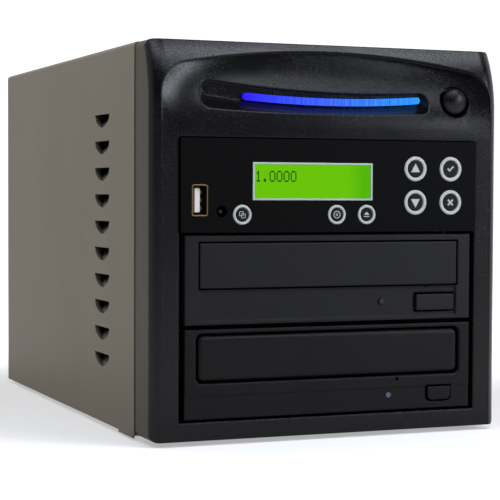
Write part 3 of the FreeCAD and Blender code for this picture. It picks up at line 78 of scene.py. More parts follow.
# Plastics: dark and light colour, roughness, and where they aren't the usual ones, the depth of the bump,
# the specular level, the spread of the roughness and the edge
PLAIN_DEPTH = 0.00002
GLOSSY_DEPTH = 0.000002
PLAIN_SPECULAR = 0.3
PLAIN_SPREAD = 0.2
PLASTICS = {
    "bezel_plastic": ((3, 3, 4), (13, 13, 16), 0.24, 0.00006, 0.19, 0.5, BEZEL_EDGE),
    "upper_drive_plastic": ((13, 13, 16), (23, 23, 26), 0.45, PLAIN_DEPTH, 0.14, PLAIN_SPREAD, DRIVE_EDGE),
    "lower_drive_plastic": ((3, 3, 4), (12, 12, 13), 0.42, 0.00004, 0.13, 0.5, DRIVE_EDGE),
    "panel_plastic": ((3, 3, 3), (7, 7, 7), 0.55, PLAIN_DEPTH, 0.04),
    "button_black": ((9, 9, 10), (15, 15, 16), 0.45, PLAIN_DEPTH, 0.12),
    "power_plastic": ((8, 8, 9), (14, 14, 15), 0.3, PLAIN_DEPTH, 0.16),
    "ring_pale": ((166, 168, 162), (184, 186, 180), 0.45),
    "display_border": ((158, 168, 162), (174, 184, 178), 0.5),
    "display_ink": ((16, 66, 2), (28, 80, 4), 0.4, GLOSSY_DEPTH, 0.1),
    "usb_white": ((196, 193, 187), (214, 211, 206), 0.45),
    "status_light": ((14, 14, 13), (28, 28, 25), 0.3, GLOSSY_DEPTH),
    "upper_mark": ((12, 11, 11), (24, 21, 20), 0.3, GLOSSY_DEPTH),
    "lower_mark": ((52, 66, 84), (66, 82, 102), 0.3, GLOSSY_DEPTH, 0.4),
    # Black for the strip of painted shade in the gap behind the collar
    "gap_shade_black": ((3, 3, 3), (7, 7, 7), 0.8, PLAIN_DEPTH, 0.05),
    "foot_rubber": ((16, 16, 16), (26, 26, 26), 0.8, 0.00004, 0.2),
    "inner_plastic": ((24, 24, 25), (34, 34, 35), 0.5),
    "fan_plastic": ((20, 20, 20), (30, 30, 30), 0.5),
    "tray_plastic": ((26, 26, 27), (36, 36, 37), 0.5),
    "gear_plastic": ((206, 203, 192), (226, 223, 212), 0.4),
    "circuit_board": ((16, 62, 34), (24, 84, 46), 0.4),
}

# Bare metals: dark and light colour, roughness
METAL_DEPTH = 0.00001
METAL_SPREAD = 0.2
METAL_SPECULAR = 0.5
METALS = {
    "inner_steel": ((150, 152, 154), (196, 198, 200), 0.38),
    "drive_steel": ((152, 154, 156), (198, 200, 202), 0.38),
    "screw_steel": ((120, 120, 122), (176, 176, 178), 0.3),
    "spindle_metal": ((150, 150, 152), (196, 196, 198), 0.3),
    "pickup_metal": ((88, 88, 90), (124, 124, 126), 0.5),
    "usb_metal": ((90, 73, 48), (140, 116, 80), 0.34),
    "pin_brass": ((176, 146, 82), (214, 184, 112), 0.3),
    "spring_bronze": ((70, 54, 32), (104, 84, 54), 0.45),
}

# Painted sheet: dark and light colour, metallic and specular level
PAINT_ROUGHNESS = 0.5
PAINT_SPREAD = 0.22
PAINT_DEPTH = 0.000012
PAINTS = {
    "cover_paint": ((90, 84, 68), (120, 110, 91), 0.15, 0.2),
    # The collar wears the cover's paint: its darker colours here are painted shade
    "collar_shaded_paint": ((77, 72, 61), (89, 84, 73), 0.0, 0.05),
}

# Nodes whose finish isn't that of their slot
OWN_FINISHES = {
    "front_collar": "collar_shaded_paint",
    "upper_drive_light": "upper_mark",
    "lower_drive_light": "lower_mark",
}

# Shade inside the louvres: half widths where it starts and is full, and the heights between which it lies
LOUVRE_LIT = 0.0893
LOUVRE_DARK = 0.0868
LOUVRE_TOP = 0.17
LOUVRE_FOOT = 0.02
LOUVRE_SHADE = (5, 5, 4)

# Painted shade along the collar's rear edge, and a black strip of painted shade in the gap behind it
COLLAR_SHADE_WIDTH = 0.0022
COLLAR_SHADE = (4, 4, 3)
GAP_SHADE_SUNK = 0.0003
GAP_SHADE_THICK = 0.0008
GAP_SHADE_CORNER = 0.0035
GAP_SHADE_STEPS = 9

# Light bar: colours along it, and the noise of its ribs
BAR_LEFT = (36, 26, 240)
BAR_MIDDLE = (60, 126, 255)
BAR_RIGHT = (18, 186, 255)
BAR_RIB = (58, 30, 236)
BAR_BODY = (8, 10, 50)
BAR_STRENGTH = 1.1
BAR_ROUGHNESS = 0.25
BAR_SPECULAR = 0.1
RIB_GRAIN = (900.0, 0.0, 0.0)
RIB_LOW = 0.35
RIB_HIGH = 0.65
RIB_LEAST = 0.2

# Display: its light, and the shares of its width between which the light deepens
DISPLAY_LIT = (106, 197, 0)
DISPLAY_DEEP = (80, 184, 0)
DISPLAY_BODY = (10, 30, 0)
DISPLAY_STRENGTH = 0.95
DISPLAY_ROUGHNESS = 0.3
DISPLAY_SPECULAR = 0.05
DEEPEN_START = 0.8
DEEPEN_END = 0.93
WAVER_GRAIN = (60.0, 60.0, 60.0)
WAVER = 0.1

# Digits on the display
DISPLAY_TEXT = "1.0000"
DOT_PATTERNS = {
    "0": ("01110", "10001", "10001", "10001", "10001", "10001", "01110"),
    "1": ("00100", "01100", "00100", "00100", "00100", "00100", "01110"),
    ".": ("00000", "00000", "00000", "00000", "00000", "01100", "01100"),
}
TEXT_INSET = 0.0003
TEXT_DROP = 0.003
SIGN_PITCH = 0.00355
DOT_ACROSS = 0.0006
DOT_DOWN = 0.00073
DOT_FILL = 0.98
DOT_PROUD = 0.00003
DOT_SUNK = 0.00005

# Printed marks on the button caps
MARK_PROUD = 0.00005
MARK_SUNK = 0.0001
MARK_STEPS = 40
ARROW_HALF = 0.0024
ARROW_RISE = 0.0042
ARROW_LIFT = 0.0005
TICK_SIZE = 0.0019
TICK_CORNERS = ((-1.0, 0.0), (-0.65, 0.32), (-0.28, -0.08), (0.7, 0.9), (1.0, 0.58), (-0.28, -0.7))
CROSS_REACH = 0.0019
CROSS_HALF = 0.00045
LINE_MARK = 0.0004
SHEET_MARK = 0.0015
SHEET_SHIFT = 0.0005
DISC_MARK = 0.0018
HUB_MARK = 0.0006
EJECT_HALF = 0.0015
EJECT_RISE = 0.0015
EJECT_LIFT = 0.0006
EJECT_BAR_TOP = -0.0007

# Contact springs in the socket: reach, half width, place and heights as shares of the tongue's height
SPRING_REACH = 0.0014
SPRING_SUNK = 0.0001
SPRING_HALF = 0.0011
SPRING_SETBACK = 0.0005
SPRING_LENGTH = 0.007
SPRING_SHARES = (0.17, 0.5, 0.83)
SPRING_STEPS = 13

# Turned face of the power button
POWER_CAP_RADIUS = 0.0061
POWER_DOME = 0.002
POWER_FACE_RADIUS = 0.0055
POWER_RINGS = 61
POWER_STEPS = 96
RIPPLE_HEIGHT = 0.00006
RIPPLE_PITCH = 0.0011

# Screws: the recess is given in shares of the head's radius
SCREW_HEAD = 0.0019
SCREW_SHANK = 0.0015
SCREW_RINGS = 25
SCREW_STEPS = 72
HEAD_DOME = 0.0009
HEAD_FLATNESS = 4
RECESS_HALF = 0.17
RECESS_REACH = 0.62
RECESS_WALL = 0.06
RECESS_DEPTH = 0.0008

# Points this close are one point: in a new mesh, and in decimals of a metre in a packed one
MERGE_REACH = 0.0000001
MERGE_DECIMALS = 6

# Stage: the floor's and backdrops' colour, and their lift to white for the camera and for reflections
FLOOR_HALF = 4.0
BACKDROP_Y = 2.6
BACKDROP_TOP = 4.0
SIDE_FRONT = -1.0
STAGE_ALBEDO = 0.6
BACKDROP_LIFT = 1.0
FLOOR_LIFT = 0.4
LIFT_NEAR = 0.14
LIFT_FAR = 0.33
FRONT_NEAR = -0.7
FRONT_FAR = -1.8
FRONT_DIM = 0.6
WORLD_LEVEL = 0.05

# Lamps: place, aim, width, height, watts and colour
COOL_WHITE = (238, 243, 255)
WARM_WHITE = (255, 248, 236)
BEZEL_AIM = (0.0, -0.12, 0.165)
CORNER_AIM = (-0.085, -0.13, 0.185)
COVER_AIM = (-0.09, 0.03, 0.1)
LAMPS = {
    "overhead_softbox": ((0.447, -0.758, 1.077), BEZEL_AIM, 0.62, 0.3, 7.8, COOL_WHITE),
    "right_softbox": ((0.85, -0.91, 0.44), BEZEL_AIM, 0.34, 0.34, 8.4, COOL_WHITE),
    "left_strip": ((-0.45, -0.72, 1.03), CORNER_AIM, 1.3, 0.16, 9.5, COOL_WHITE),
    "rear_softbox": ((-0.75, 0.85, 0.8), COVER_AIM, 0.7, 0.7, 3.9, WARM_WHITE),
}

# Directions and turns
UP = (0.0, 0.0, 1.0)
FORWARDS = (0.0, -1.0, 0.0)
EIGHTH_TURN = math.pi / 4
QUARTER_TURN = math.pi / 2
FULL_TURN = 2 * math.pi


# Shader nodes


def linear(colour):
    """Linear RGBA of an 8-bit sRGB colour: the standard two-part transfer curve."""
    share = np.array(colour) / 255.0
    straight = share / 12.92
    curved = ((share + 0.055) / 1.055) ** 2.4
    return (*np.where(share <= 0.04045, straight, curved).tolist(), 1.0)


def feed(tree, socket, value):
    """Gives a socket its value: a link from another socket, or a constant."""
    if isinstance(value, bpy.types.NodeSocket):
        tree.links.new(value, socket)
    else:
        socket.default_value = value


def math_node(tree, operation, first, second):
    """Math node whose two operands are sockets or plain numbers."""
    node = tree.nodes.new("ShaderNodeMath")
    node.operation = operation
    feed(tree, node.inputs[0], first)
    feed(tree, node.inputs[1], second)
    return node.outputs[0]


def weighted(tree, share, first, second):
    """Sum of two sockets: the second by a share, the first by what is left of it."""
    start = math_node(tree, "MULTIPLY", first, 1 - share)
    return math_node(tree, "ADD", start, math_node(tree, "MULTIPLY", second, share))


def map_range(tree, value, start, end, low=0.0, high=1.0, kind="LINEAR"):
    """Value carried from the range start to end onto the range low to high, and held beyond its ends."""
    node = tree.nodes.new("ShaderNodeMapRange")
    node.interpolation_type = kind
    node.inputs["From Min"].default_value = start
    node.inputs["From Max"].default_value = end
    node.inputs["To Min"].default_value = low
    node.inputs["To Max"].default_value = high
    tree.links.new(value, node.inputs["Value"])
    return node.outputs["Result"]


def colour_mix(tree, share, first, second):
    """Mix of two colour sockets or colours by a share socket."""
    node = tree.nodes.new("ShaderNodeMix")
    node.data_type = "RGBA"
    tree.links.new(share, node.inputs["Factor"])
    for label, value in (("A", first), ("B", second)):
        socket = [item for item in node.inputs if item.name == label and item.type == "RGBA"][0]
        feed(tree, socket, value)
    return [item for item in node.outputs if item.type == "RGBA"][0]


def colour_ramp(tree, share, first, last, *between):
    """Colours along a share socket; each stop is a position and a colour."""
    ramp = tree.nodes.new("ShaderNodeValToRGB")
    elements = ramp.color_ramp.elements
    for element, (position, colour) in zip(elements, (first, last)):
        element.position = position
        element.color = linear(colour)
    for position, colour in between:
        elements.new(position).color = linear(colour)
    tree.links.new(share, ramp.inputs["Fac"])
    return ramp.outputs["Color"]


def object_place(tree):
    """Object coordinates: their socket, and the sockets of X, Y and Z."""
    coordinates = tree.nodes.new("ShaderNodeTexCoord")
    split = tree.nodes.new("ShaderNodeSeparateXYZ")
    tree.links.new(coordinates.outputs["Object"], split.inputs["Vector"])
    return coordinates.outputs["Object"], split.outputs


def share_along(tree, node):
    """Share of a node's width at which a point lies, from 0 at its left end to 1 at its right."""
    low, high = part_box(node)
    _, axes = object_place(tree)
    return math_node(tree, "DIVIDE", math_node(tree, "SUBTRACT", axes["X"], low.x), high.x - low.x)


def object_noise(tree, stretch, detail):
    """Noise on Object coordinates, its frequency per metre given along X, Y and Z."""
    coordinates = tree.nodes.new("ShaderNodeTexCoord")
    mapping = tree.nodes.new("ShaderNodeMapping")
    mapping.inputs["Scale"].default_value = stretch
    noise = tree.nodes.new("ShaderNodeTexNoise")
    noise.inputs["Scale"].default_value = 1.0
    noise.inputs["Detail"].default_value = detail
    tree.links.new(coordinates.outputs["Object"], mapping.inputs["Vector"])
    tree.links.new(mapping.outputs["Vector"], noise.inputs["Vector"])
    return noise.outputs["Fac"]


# Grain groups shared by the finishes


def grain_group(name):
    """Empty grain group: two colours, a roughness and its spread in; colour, roughness and height out."""
    group = bpy.data.node_groups.new(name, "ShaderNodeTree")
    for label in ("Dark", "Light"):
        group.interface.new_socket(label, in_out="INPUT", socket_type="NodeSocketColor")
    for label in ("Roughness", "Spread"):
        group.interface.new_socket(label, in_out="INPUT", socket_type="NodeSocketFloat")
    group.interface.new_socket("Color", in_out="OUTPUT", socket_type="NodeSocketColor")
    for label in ("Roughness", "Height"):
        group.interface.new_socket(label, in_out="OUTPUT", socket_type="NodeSocketFloat")
    return group


def end_grain(group, tone, swing, height):
    """Joins a grain group's noises to its ends.

    Colour runs from Dark to Light with the tone; Roughness is the given level plus Spread times the swing
    about its middle; Height is passed on.
    """
    entry = group.nodes.new("NodeGroupInput")
    end = group.nodes.new("NodeGroupOutput")
    colour = colour_mix(group, tone, entry.outputs["Dark"], entry.outputs["Light"])
    group.links.new(colour, end.inputs["Color"])
    about = math_node(group, "SUBTRACT", swing, NOISE_MIDDLE)
    change = math_node(group, "MULTIPLY", about, entry.outputs["Spread"])
    group.links.new(math_node(group, "ADD", entry.outputs["Roughness"], change), end.inputs["Roughness"])
    group.links.new(height, end.inputs["Height"])
    return group


def make_moulded_grain():
    """Spark-eroded plastic: fine bumps, with specks and a slow drift of colour and roughness."""
    group = grain_group("moulded_grain")
    drift = object_noise(group, SLOW_GRAIN, detail=3.0)
    speck = object_noise(group, SPECK_GRAIN, detail=1.0)
    fine = object_noise(group, FINE_GRAIN, detail=2.0)
    tone = weighted(group, SPECK_SHARE, drift, speck)
    return end_grain(group, tone, tone, fine)


def make_brushed_grain():
    """Brushed sheet: long streaks that run up the sides and across the top, and a slow drift.

    The noise is dense along Y and stretched along X and Z, so that its streaks follow the folded sheet.
    """
    group = grain_group("brushed_grain")
    drift = object_noise(group, SHEET_DRIFT, detail=3.0)
    streak = object_noise(group, STREAK_GRAIN, detail=4.0)
    return end_grain(group, weighted(group, STREAK_SHARE, drift, streak), streak, streak)


MOULDED = make_moulded_grain()
BRUSHED = make_brushed_grain()


# Finishes


def blank_finish(name):
    """Material with its Principled BSDF."""
    material = bpy.data.materials.new(name)
    material.use_nodes = True
    return material, material.node_tree, material.node_tree.nodes["Principled BSDF"]


def grained_finish(name, group, colours, roughness, spread, depth, metallic, specular, edge):
    """Finish whose colour, roughness and bump come from one of the grain groups."""
    material, tree, shader = blank_finish(name)
    grain = tree.nodes.new("ShaderNodeGroup")
    grain.node_tree = group
    dark, light = colours
    grain.inputs["Dark"].default_value = linear(dark)
    grain.inputs["Light"].default_value = linear(light)
    grain.inputs["Roughness"].default_value = roughness
    grain.inputs["Spread"].default_value = spread
    soft_edge = tree.nodes.new("ShaderNodeBevel")
    soft_edge.samples = EDGE_SAMPLES
    soft_edge.inputs["Radius"].default_value = edge
    bump = tree.nodes.new("ShaderNodeBump")
    bump.inputs["Strength"].default_value = 1.0
    bump.inputs["Distance"].default_value = depth
    tree.links.new(grain.outputs["Height"], bump.inputs["Height"])
    tree.links.new(soft_edge.outputs["Normal"], bump.inputs["Normal"])
    tree.links.new(grain.outputs["Color"], shader.inputs["Base Color"])
    tree.links.new(grain.outputs["Roughness"], shader.inputs["Roughness"])
    tree.links.new(bump.outputs["Normal"], shader.inputs["Normal"])
    shader.inputs["Metallic"].default_value = metallic
    shader.inputs["Specular IOR Level"].default_value = specular
    return material


def plastic(name, dark, light, roughness, depth=PLAIN_DEPTH, specular=PLAIN_SPECULAR, spread=PLAIN_SPREAD,
            edge=EDGE_RADIUS):
    """Moulded plastic."""
    return grained_finish(
        name, MOULDED, (dark, light), roughness, spread, depth, metallic=0.0, specular=specular, edge=edge)


def bare_metal(name, dark, light, roughness):
    """Plated or polished metal with a fine brushed grain."""
    return grained_finish(
        name, BRUSHED, (dark, light), roughness, METAL_SPREAD, METAL_DEPTH,
        metallic=1.0, specular=METAL_SPECULAR, edge=EDGE_RADIUS)


def sheet_paint(name):
    """Warm grey coat on brushed steel: streaks show in its colour, its roughness and its relief."""
    dark, light, metallic, specular = PAINTS[name]
    return grained_finish(
        name, BRUSHED, (dark, light), PAINT_ROUGHNESS, PAINT_SPREAD, PAINT_DEPTH,
        metallic=metallic, specular=specular, edge=EDGE_RADIUS)


def shade_coat(material, share, shade):
    """Turns a coat's colour towards a darker one by a share socket."""
    tree = material.node_tree
    socket = tree.nodes["Principled BSDF"].inputs["Base Color"]
    coat = socket.links[0].from_socket
    tree.links.new(colour_mix(tree, share, coat, linear(shade)), socket)
    return material


def shade_louvres(material):
    """Darkens the cover's paint inside its louvres: the deeper below the side sheet, the darker."""
    tree = material.node_tree
    _, axes = object_place(tree)
    deep = map_range(tree, math_node(tree, "ABSOLUTE", axes["X"], 0.0), LOUVRE_LIT, LOUVRE_DARK)
    below = math_node(tree, "LESS_THAN", axes["Z"], LOUVRE_TOP)
    above = math_node(tree, "GREATER_THAN", axes["Z"], LOUVRE_FOOT)
    between = math_node(tree, "MULTIPLY", below, above)
    return shade_coat(material, math_node(tree, "MULTIPLY", deep, between), LOUVRE_SHADE)


def shade_rear_edge(material):
    """Painted shade: darkens the collar's paint along its rear edge, where it turns into the gap."""
    tree = material.node_tree
    _, axes = object_place(tree)
    _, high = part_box("front_collar")
    near = map_range(tree, axes["Y"], high.y - COLLAR_SHADE_WIDTH, high.y - COLLAR_SHADE_WIDTH / 2)
    return shade_coat(material, near, COLLAR_SHADE)


def set_glow(tree, shader, glow, strength, body, roughness, specular):
    """Makes a material give off a colour socket's light from a dark body."""
    tree.links.new(glow, shader.inputs["Emission Color"])
    shader.inputs["Emission Strength"].default_value = strength
    shader.inputs["Base Color"].default_value = linear(body)
    shader.inputs["Roughness"].default_value = roughness
    shader.inputs["Specular IOR Level"].default_value = specular


def bar_glow():
    """Lit clear bar: violet-blue at its left end, cyan-blue at its right, crossed by uneven prism ribs.

    The ribs are noise that changes only along the bar; where it is low, the colour goes towards violet.
    """
    material, tree, shader = blank_finish("bar_glow")
    along = share_along(tree, "light_bar")
    ramp = colour_ramp(tree, along, (0.0, BAR_LEFT), (1.0, BAR_RIGHT), (0.5, BAR_MIDDLE))
    ribs = map_range(tree, object_noise(tree, RIB_GRAIN, detail=2.0), RIB_LOW, RIB_HIGH, RIB_LEAST)
    glow = colour_mix(tree, ribs, linear(BAR_RIB), ramp)
    set_glow(tree, shader, glow, BAR_STRENGTH, BAR_BODY, BAR_ROUGHNESS, BAR_SPECULAR)
    return material


def display_glow():
    """Backlit display: yellow-green, shading to a deeper green near its right end along a wavering line."""
    material, tree, shader = blank_finish("display_glow")
    along = share_along(tree, "display_glass")
    drift = math_node(tree, "SUBTRACT", object_noise(tree, WAVER_GRAIN, detail=2.0), NOISE_MIDDLE)
    wavering = math_node(tree, "ADD", along, math_node(tree, "MULTIPLY", drift, WAVER))
    glow = colour_ramp(tree, wavering, (DEEPEN_START, DISPLAY_LIT), (DEEPEN_END, DISPLAY_DEEP))
    set_glow(tree, shader, glow, DISPLAY_STRENGTH, DISPLAY_BODY, DISPLAY_ROUGHNESS, DISPLAY_SPECULAR)
    return material


FINISHES = {name: plastic(name, *values) for name, values in PLASTICS.items()}
FINISHES.update({name: bare_metal(name, *values) for name, values in METALS.items()})
FINISHES["cover_steel"] = shade_louvres(sheet_paint("cover_paint"))
# Collar: the cover's paint made darker as painted shade, with more painted shade along its rear edge
FINISHES["collar_shaded_paint"] = shade_rear_edge(sheet_paint("collar_shaded_paint"))
FINISHES["blue_light"] = bar_glow()
FINISHES["display_green"] = display_glow()

for row in frame["record"]["subparts"]:
    mesh = nodes[row["node"]].data
    mesh.materials.clear()
    mesh.materials.append(FINISHES[OWN_FINISHES.get(row["node"], row["material_slot"])])


# Surfaces: points as one array, and blocks of faces that number them


def grid_faces(rows, columns):
    """Quads of a grid of points kept row by row, its last column joined to its first."""
    row, column = np.meshgrid(np.arange(rows - 1), np.arange(columns), indexing="ij")
    right = (column + 1) % columns
    here = row * columns
    below = here + columns
    corners = [here + column, here + right, below + right, below + column]
    return np.stack(corners, axis=-1).reshape(-1, 4)


def prism(outline, front, back):
    """Closed prism: an outline's (x, z) points at a front and a back depth, joined round and capped."""
    flat = np.asarray(outline, dtype=float)
    ends = [np.insert(flat, 1, depth, axis=1) for depth in (front, back)]
    caps = np.arange(2 * len(flat)).reshape(2, -1)
    return np.concatenate(ends), [grid_faces(2, len(flat)), caps]


def spokes(way, steps, start=0.0):
    """Unit vectors round an axis of the frame: cos a along the next axis and sin a along the third."""
    angle = start + FULL_TURN * np.arange(steps) / steps
    across = np.roll(way, 1)
    return np.outer(np.cos(angle), across) + np.outer(np.sin(angle), np.cross(way, across))


def turned(profile, seat, way, steps, start=0.0):
    """Surface of revolution: (radius, height) points carried round the axis that leaves a seat along a way.

    A point is seat + radius times a spoke + height times the way.
    """
    radius, height = np.asarray(profile, dtype=float).T
    rings = np.asarray(seat) + radius[:, None, None] * spokes(way, steps, start)
    points = rings + height[:, None, None] * np.asarray(way)
    return points.reshape(-1, 3), [grid_faces(len(radius), steps)]


def scattered(surface, places):
    """Copies of one small surface at many places, as one surface: its points plus each place."""
    points, blocks = surface
    spread = np.asarray(places)[:, None, :] + points
    shifts = np.arange(len(places))[:, None, None] * len(points)
    return spread.reshape(-1, 3), [(block + shifts).reshape(-1, block.shape[1]) for block in blocks]


def make_piece(name, surfaces, body, finish, smooth=False):
    """One mesh from several closed surfaces, with doubles merged and faces outwards, riding on a body."""
    starts = np.cumsum([0] + [len(points) for points, _ in surfaces])
    faces = [(block + start).tolist() for start, (_, blocks) in zip(starts, surfaces) for block in blocks]
    mesh = bpy.data.meshes.new(name)
    mesh.from_pydata(np.concatenate([points for points, _ in surfaces]), [], sum(faces, []))
    shape = bmesh.new()
    shape.from_mesh(mesh)
    bmesh.ops.remove_doubles(shape, verts=shape.verts, dist=MERGE_REACH)
    bmesh.ops.recalc_face_normals(shape, faces=shape.faces)
    shape.to_mesh(mesh)
    shape.free()
    mesh.polygons.foreach_set("use_smooth", [smooth] * len(mesh.polygons))
    mesh.materials.append(FINISHES[finish])
    piece = bpy.data.objects.new(name, mesh)
    bpy.context.scene.collection.objects.link(piece)
    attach(piece, body)
    return piece


# Marks on the button caps


def cap_front(node):
    """Middle of a cap's front face."""
    low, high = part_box(node)
    return np.array([(low.x + high.x) / 2, low.y, (low.z + high.z) / 2])


def plate(node, outline):
    """Printed plate on a cap: an outline about its middle, from just under the face to just above it."""
    seat = cap_front(node)
    return prism(np.asarray(outline) + seat[[0, 2]], seat[1] - MARK_PROUD, seat[1] + MARK_SUNK)


def ring_mark(node, outer, inner, steps=MARK_STEPS, start=0.0, shift=(0.0, 0.0)):
    """Printed ring on a cap: a flat section carried round a circle, or round a square with four steps."""
    front = [(inner, MARK_PROUD), (outer, MARK_PROUD)]
    back = [(outer, -MARK_SUNK), (inner, -MARK_SUNK)]
    seat = cap_front(node) + np.insert(shift, 1, 0.0)
    return turned(front + back + front[:1], seat, FORWARDS, steps, start)


def arrow(half, rise, lift):
    """Triangle with its point up, or down for a negative rise."""
    return [(-half, lift - rise / 2), (half, lift - rise / 2), (0.0, lift + rise / 2)]


def cross_outline(reach, half):
    """Twelve-cornered diagonal cross: three corners of an arm, turned by an eighth and by four quarters."""
    arm = np.array([(reach, -half), (reach, half), (half, half)])
    angle = EIGHTH_TURN + QUARTER_TURN * np.arange(4)
    turn = np.array([[np.cos(angle), np.sin(angle)], [-np.sin(angle), np.cos(angle)]])
    return np.einsum("pc,cdq->qpd", arm, turn).reshape(-1, 2)


def make_cap_marks():
    """Arrows, tick and cross on the large caps; sheets, disc and eject mark on the small ones."""
    sheets = [ring_mark("copy_button", SHEET_MARK, SHEET_MARK - LINE_MARK, 4, EIGHTH_TURN, shift)
              for shift in ((-SHEET_SHIFT, SHEET_SHIFT), (SHEET_SHIFT, -SHEET_SHIFT))]
    disc = [ring_mark("source_button", DISC_MARK, DISC_MARK - LINE_MARK),
            ring_mark("source_button", HUB_MARK, HUB_MARK / 2)]
    bar = [(-EJECT_HALF, EJECT_BAR_TOP - LINE_MARK), (EJECT_HALF, EJECT_BAR_TOP - LINE_MARK),
           (EJECT_HALF, EJECT_BAR_TOP), (-EJECT_HALF, EJECT_BAR_TOP)]
    eject = [plate("eject_all_button", arrow(EJECT_HALF, EJECT_RISE, EJECT_LIFT)),
             plate("eject_all_button", bar)]
    marks = {
        "up": [plate("up_button", arrow(ARROW_HALF, ARROW_RISE, ARROW_LIFT))],
        "down": [plate("down_button", arrow(ARROW_HALF, -ARROW_RISE, -ARROW_LIFT))],
        "confirm": [plate("confirm_button", TICK_SIZE * np.array(TICK_CORNERS))],
        "cancel": [plate("cancel_button", cross_outline(CROSS_REACH, CROSS_HALF))],
        "copy": sheets,
        "source": disc,
        "eject_all": eject,
    }
    for name, surfaces in marks.items():
        make_piece(name + "_mark", surfaces, name + "_cap", "ring_pale")


# Display, socket, power button and the black strip of painted shade in the gap


def make_display_dots():
    """Row of digits on the display: one small plate at each lit place of five-by-seven dot patterns."""
    low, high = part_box("display_glass")
    pattern = np.array([[[int(dot) for dot in row] for row in DOT_PATTERNS[sign]] for sign in DISPLAY_TEXT])
    sign, row, column = np.nonzero(pattern)
    across = low.x + TEXT_INSET + sign * SIGN_PITCH + column * DOT_ACROSS
    places = np.column_stack([across, np.full(len(sign), low.y), high.z - TEXT_DROP - row * DOT_DOWN])
    side = DOT_FILL * DOT_ACROSS
    tall = DOT_FILL * DOT_DOWN
    dot = prism([(0, 0), (side, 0), (side, -tall), (0, -tall)], -DOT_PROUD, DOT_SUNK)
    make_piece("display_digits", [scattered(dot, places)], "case", "display_ink")


def make_socket_contacts():
    """Three contact springs beside the socket's tongue: half-round bars that run back into the socket."""
    low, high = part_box("usb_tongue")
    angle = np.linspace(-QUARTER_TURN, QUARTER_TURN, SPRING_STEPS)
    outline = np.column_stack([SPRING_REACH * np.cos(angle) - SPRING_SUNK, SPRING_HALF * np.sin(angle)])
    heights = low.z + (high.z - low.z) * np.array(SPRING_SHARES)
    places = np.column_stack([np.full_like(heights, high.x), np.zeros_like(heights), heights])
    bar = prism(outline, low.y + SPRING_SETBACK, low.y + SPRING_SETBACK + SPRING_LENGTH)
    make_piece("socket_springs", [scattered(bar, places)], "case", "spring_bronze")


def make_power_face():
    """Turned face of the power button: its dome with fine ripples, closed by a disc inside.

    The dome's drop at radius r is ball - sqrt(ball squared - r squared); the ripple is a cosine of r.
    """
    radius = np.linspace(0.0, POWER_FACE_RADIUS, POWER_RINGS)
    ball = (POWER_CAP_RADIUS ** 2 + POWER_DOME ** 2) / (2 * POWER_DOME)
    drop = ball - np.sqrt(ball ** 2 - radius ** 2)
    ripple = RIPPLE_HEIGHT * (1 + np.cos(FULL_TURN * radius / RIPPLE_PITCH)) / 2
    face = np.column_stack([radius, ripple - drop])
    inside = -drop[-1] - RIPPLE_HEIGHT
    profile = np.vstack([face, (POWER_FACE_RADIUS, inside), (0.0, inside)])
    surface = turned(profile, cap_front("power_button"), FORWARDS, POWER_STEPS)
    make_piece("power_button_face", [surface], "power_cap", "power_plastic", True)


def make_gap_shade():
    """Black strip of painted shade round the gap behind the collar, where the case has only an open gap: a
    square section carried round a rounded rectangle.

    A section point is an inset and a depth; its ring is four quarter circles about the corners' centres.
    """
    low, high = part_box("front_collar")
    cover_low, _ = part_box("outer_cover")
    outside = [(0.0, high.y), (0.0, cover_low.y)]
    inside = [(GAP_SHADE_THICK, cover_low.y), (GAP_SHADE_THICK, high.y)]
    section = outside + inside + outside[:1]
    inset, depth = np.array(section).T
    quarter = np.linspace(0, QUARTER_TURN, GAP_SHADE_STEPS)
    angle = (np.arange(4)[:, None] * QUARTER_TURN + quarter).reshape(-1)
    middle = (low.z + high.z) / 2
    side = np.repeat([1.0, -1.0, -1.0, 1.0], GAP_SHADE_STEPS) * (high.x - GAP_SHADE_CORNER)
    rise = np.repeat([1.0, 1.0, -1.0, -1.0], GAP_SHADE_STEPS) * (high.z - middle - GAP_SHADE_CORNER) + middle
    radius = GAP_SHADE_CORNER - GAP_SHADE_SUNK - inset[:, None]
    deep = np.broadcast_to(depth[:, None], (len(section), len(angle)))
    points = np.stack([side + radius * np.cos(angle), deep, rise + radius * np.sin(angle)], axis=-1)
    surface = (points.reshape(-1, 3), [grid_faces(len(section), len(angle))])
    make_piece("gap_shade_strip", [surface], "case", "gap_shade_black")


# Screws


def solids_of(node):
    """Lowest and highest corner of each separate solid in a node's mesh.

    Triangles share corners where their points agree; every corner takes the lowest number that its triangles
    hold until nothing changes, and corners with one number are one solid.
    """
    mesh = nodes[node].data
    points = np.empty(3 * len(mesh.vertices))
    mesh.vertices.foreach_get("co", points)
    corners = np.empty(len(mesh.loops), dtype=np.int64)
    mesh.loops.foreach_get("vertex_index", corners)
    spots, same = np.unique(points.reshape(-1, 3).round(MERGE_DECIMALS), axis=0, return_inverse=True)
    triangles = same.reshape(-1)[corners].reshape(-1, 3)
    label = np.arange(len(spots))
    settled = False
    while not settled:
        fresh = label.copy()
        np.minimum.at(fresh, triangles, label[triangles].min(axis=1)[:, None])
        settled = np.array_equal(fresh, label)
        label = fresh
    groups = [spots[label == number] for number in np.unique(label)]
    return [(group.min(axis=0), group.max(axis=0)) for group in groups]


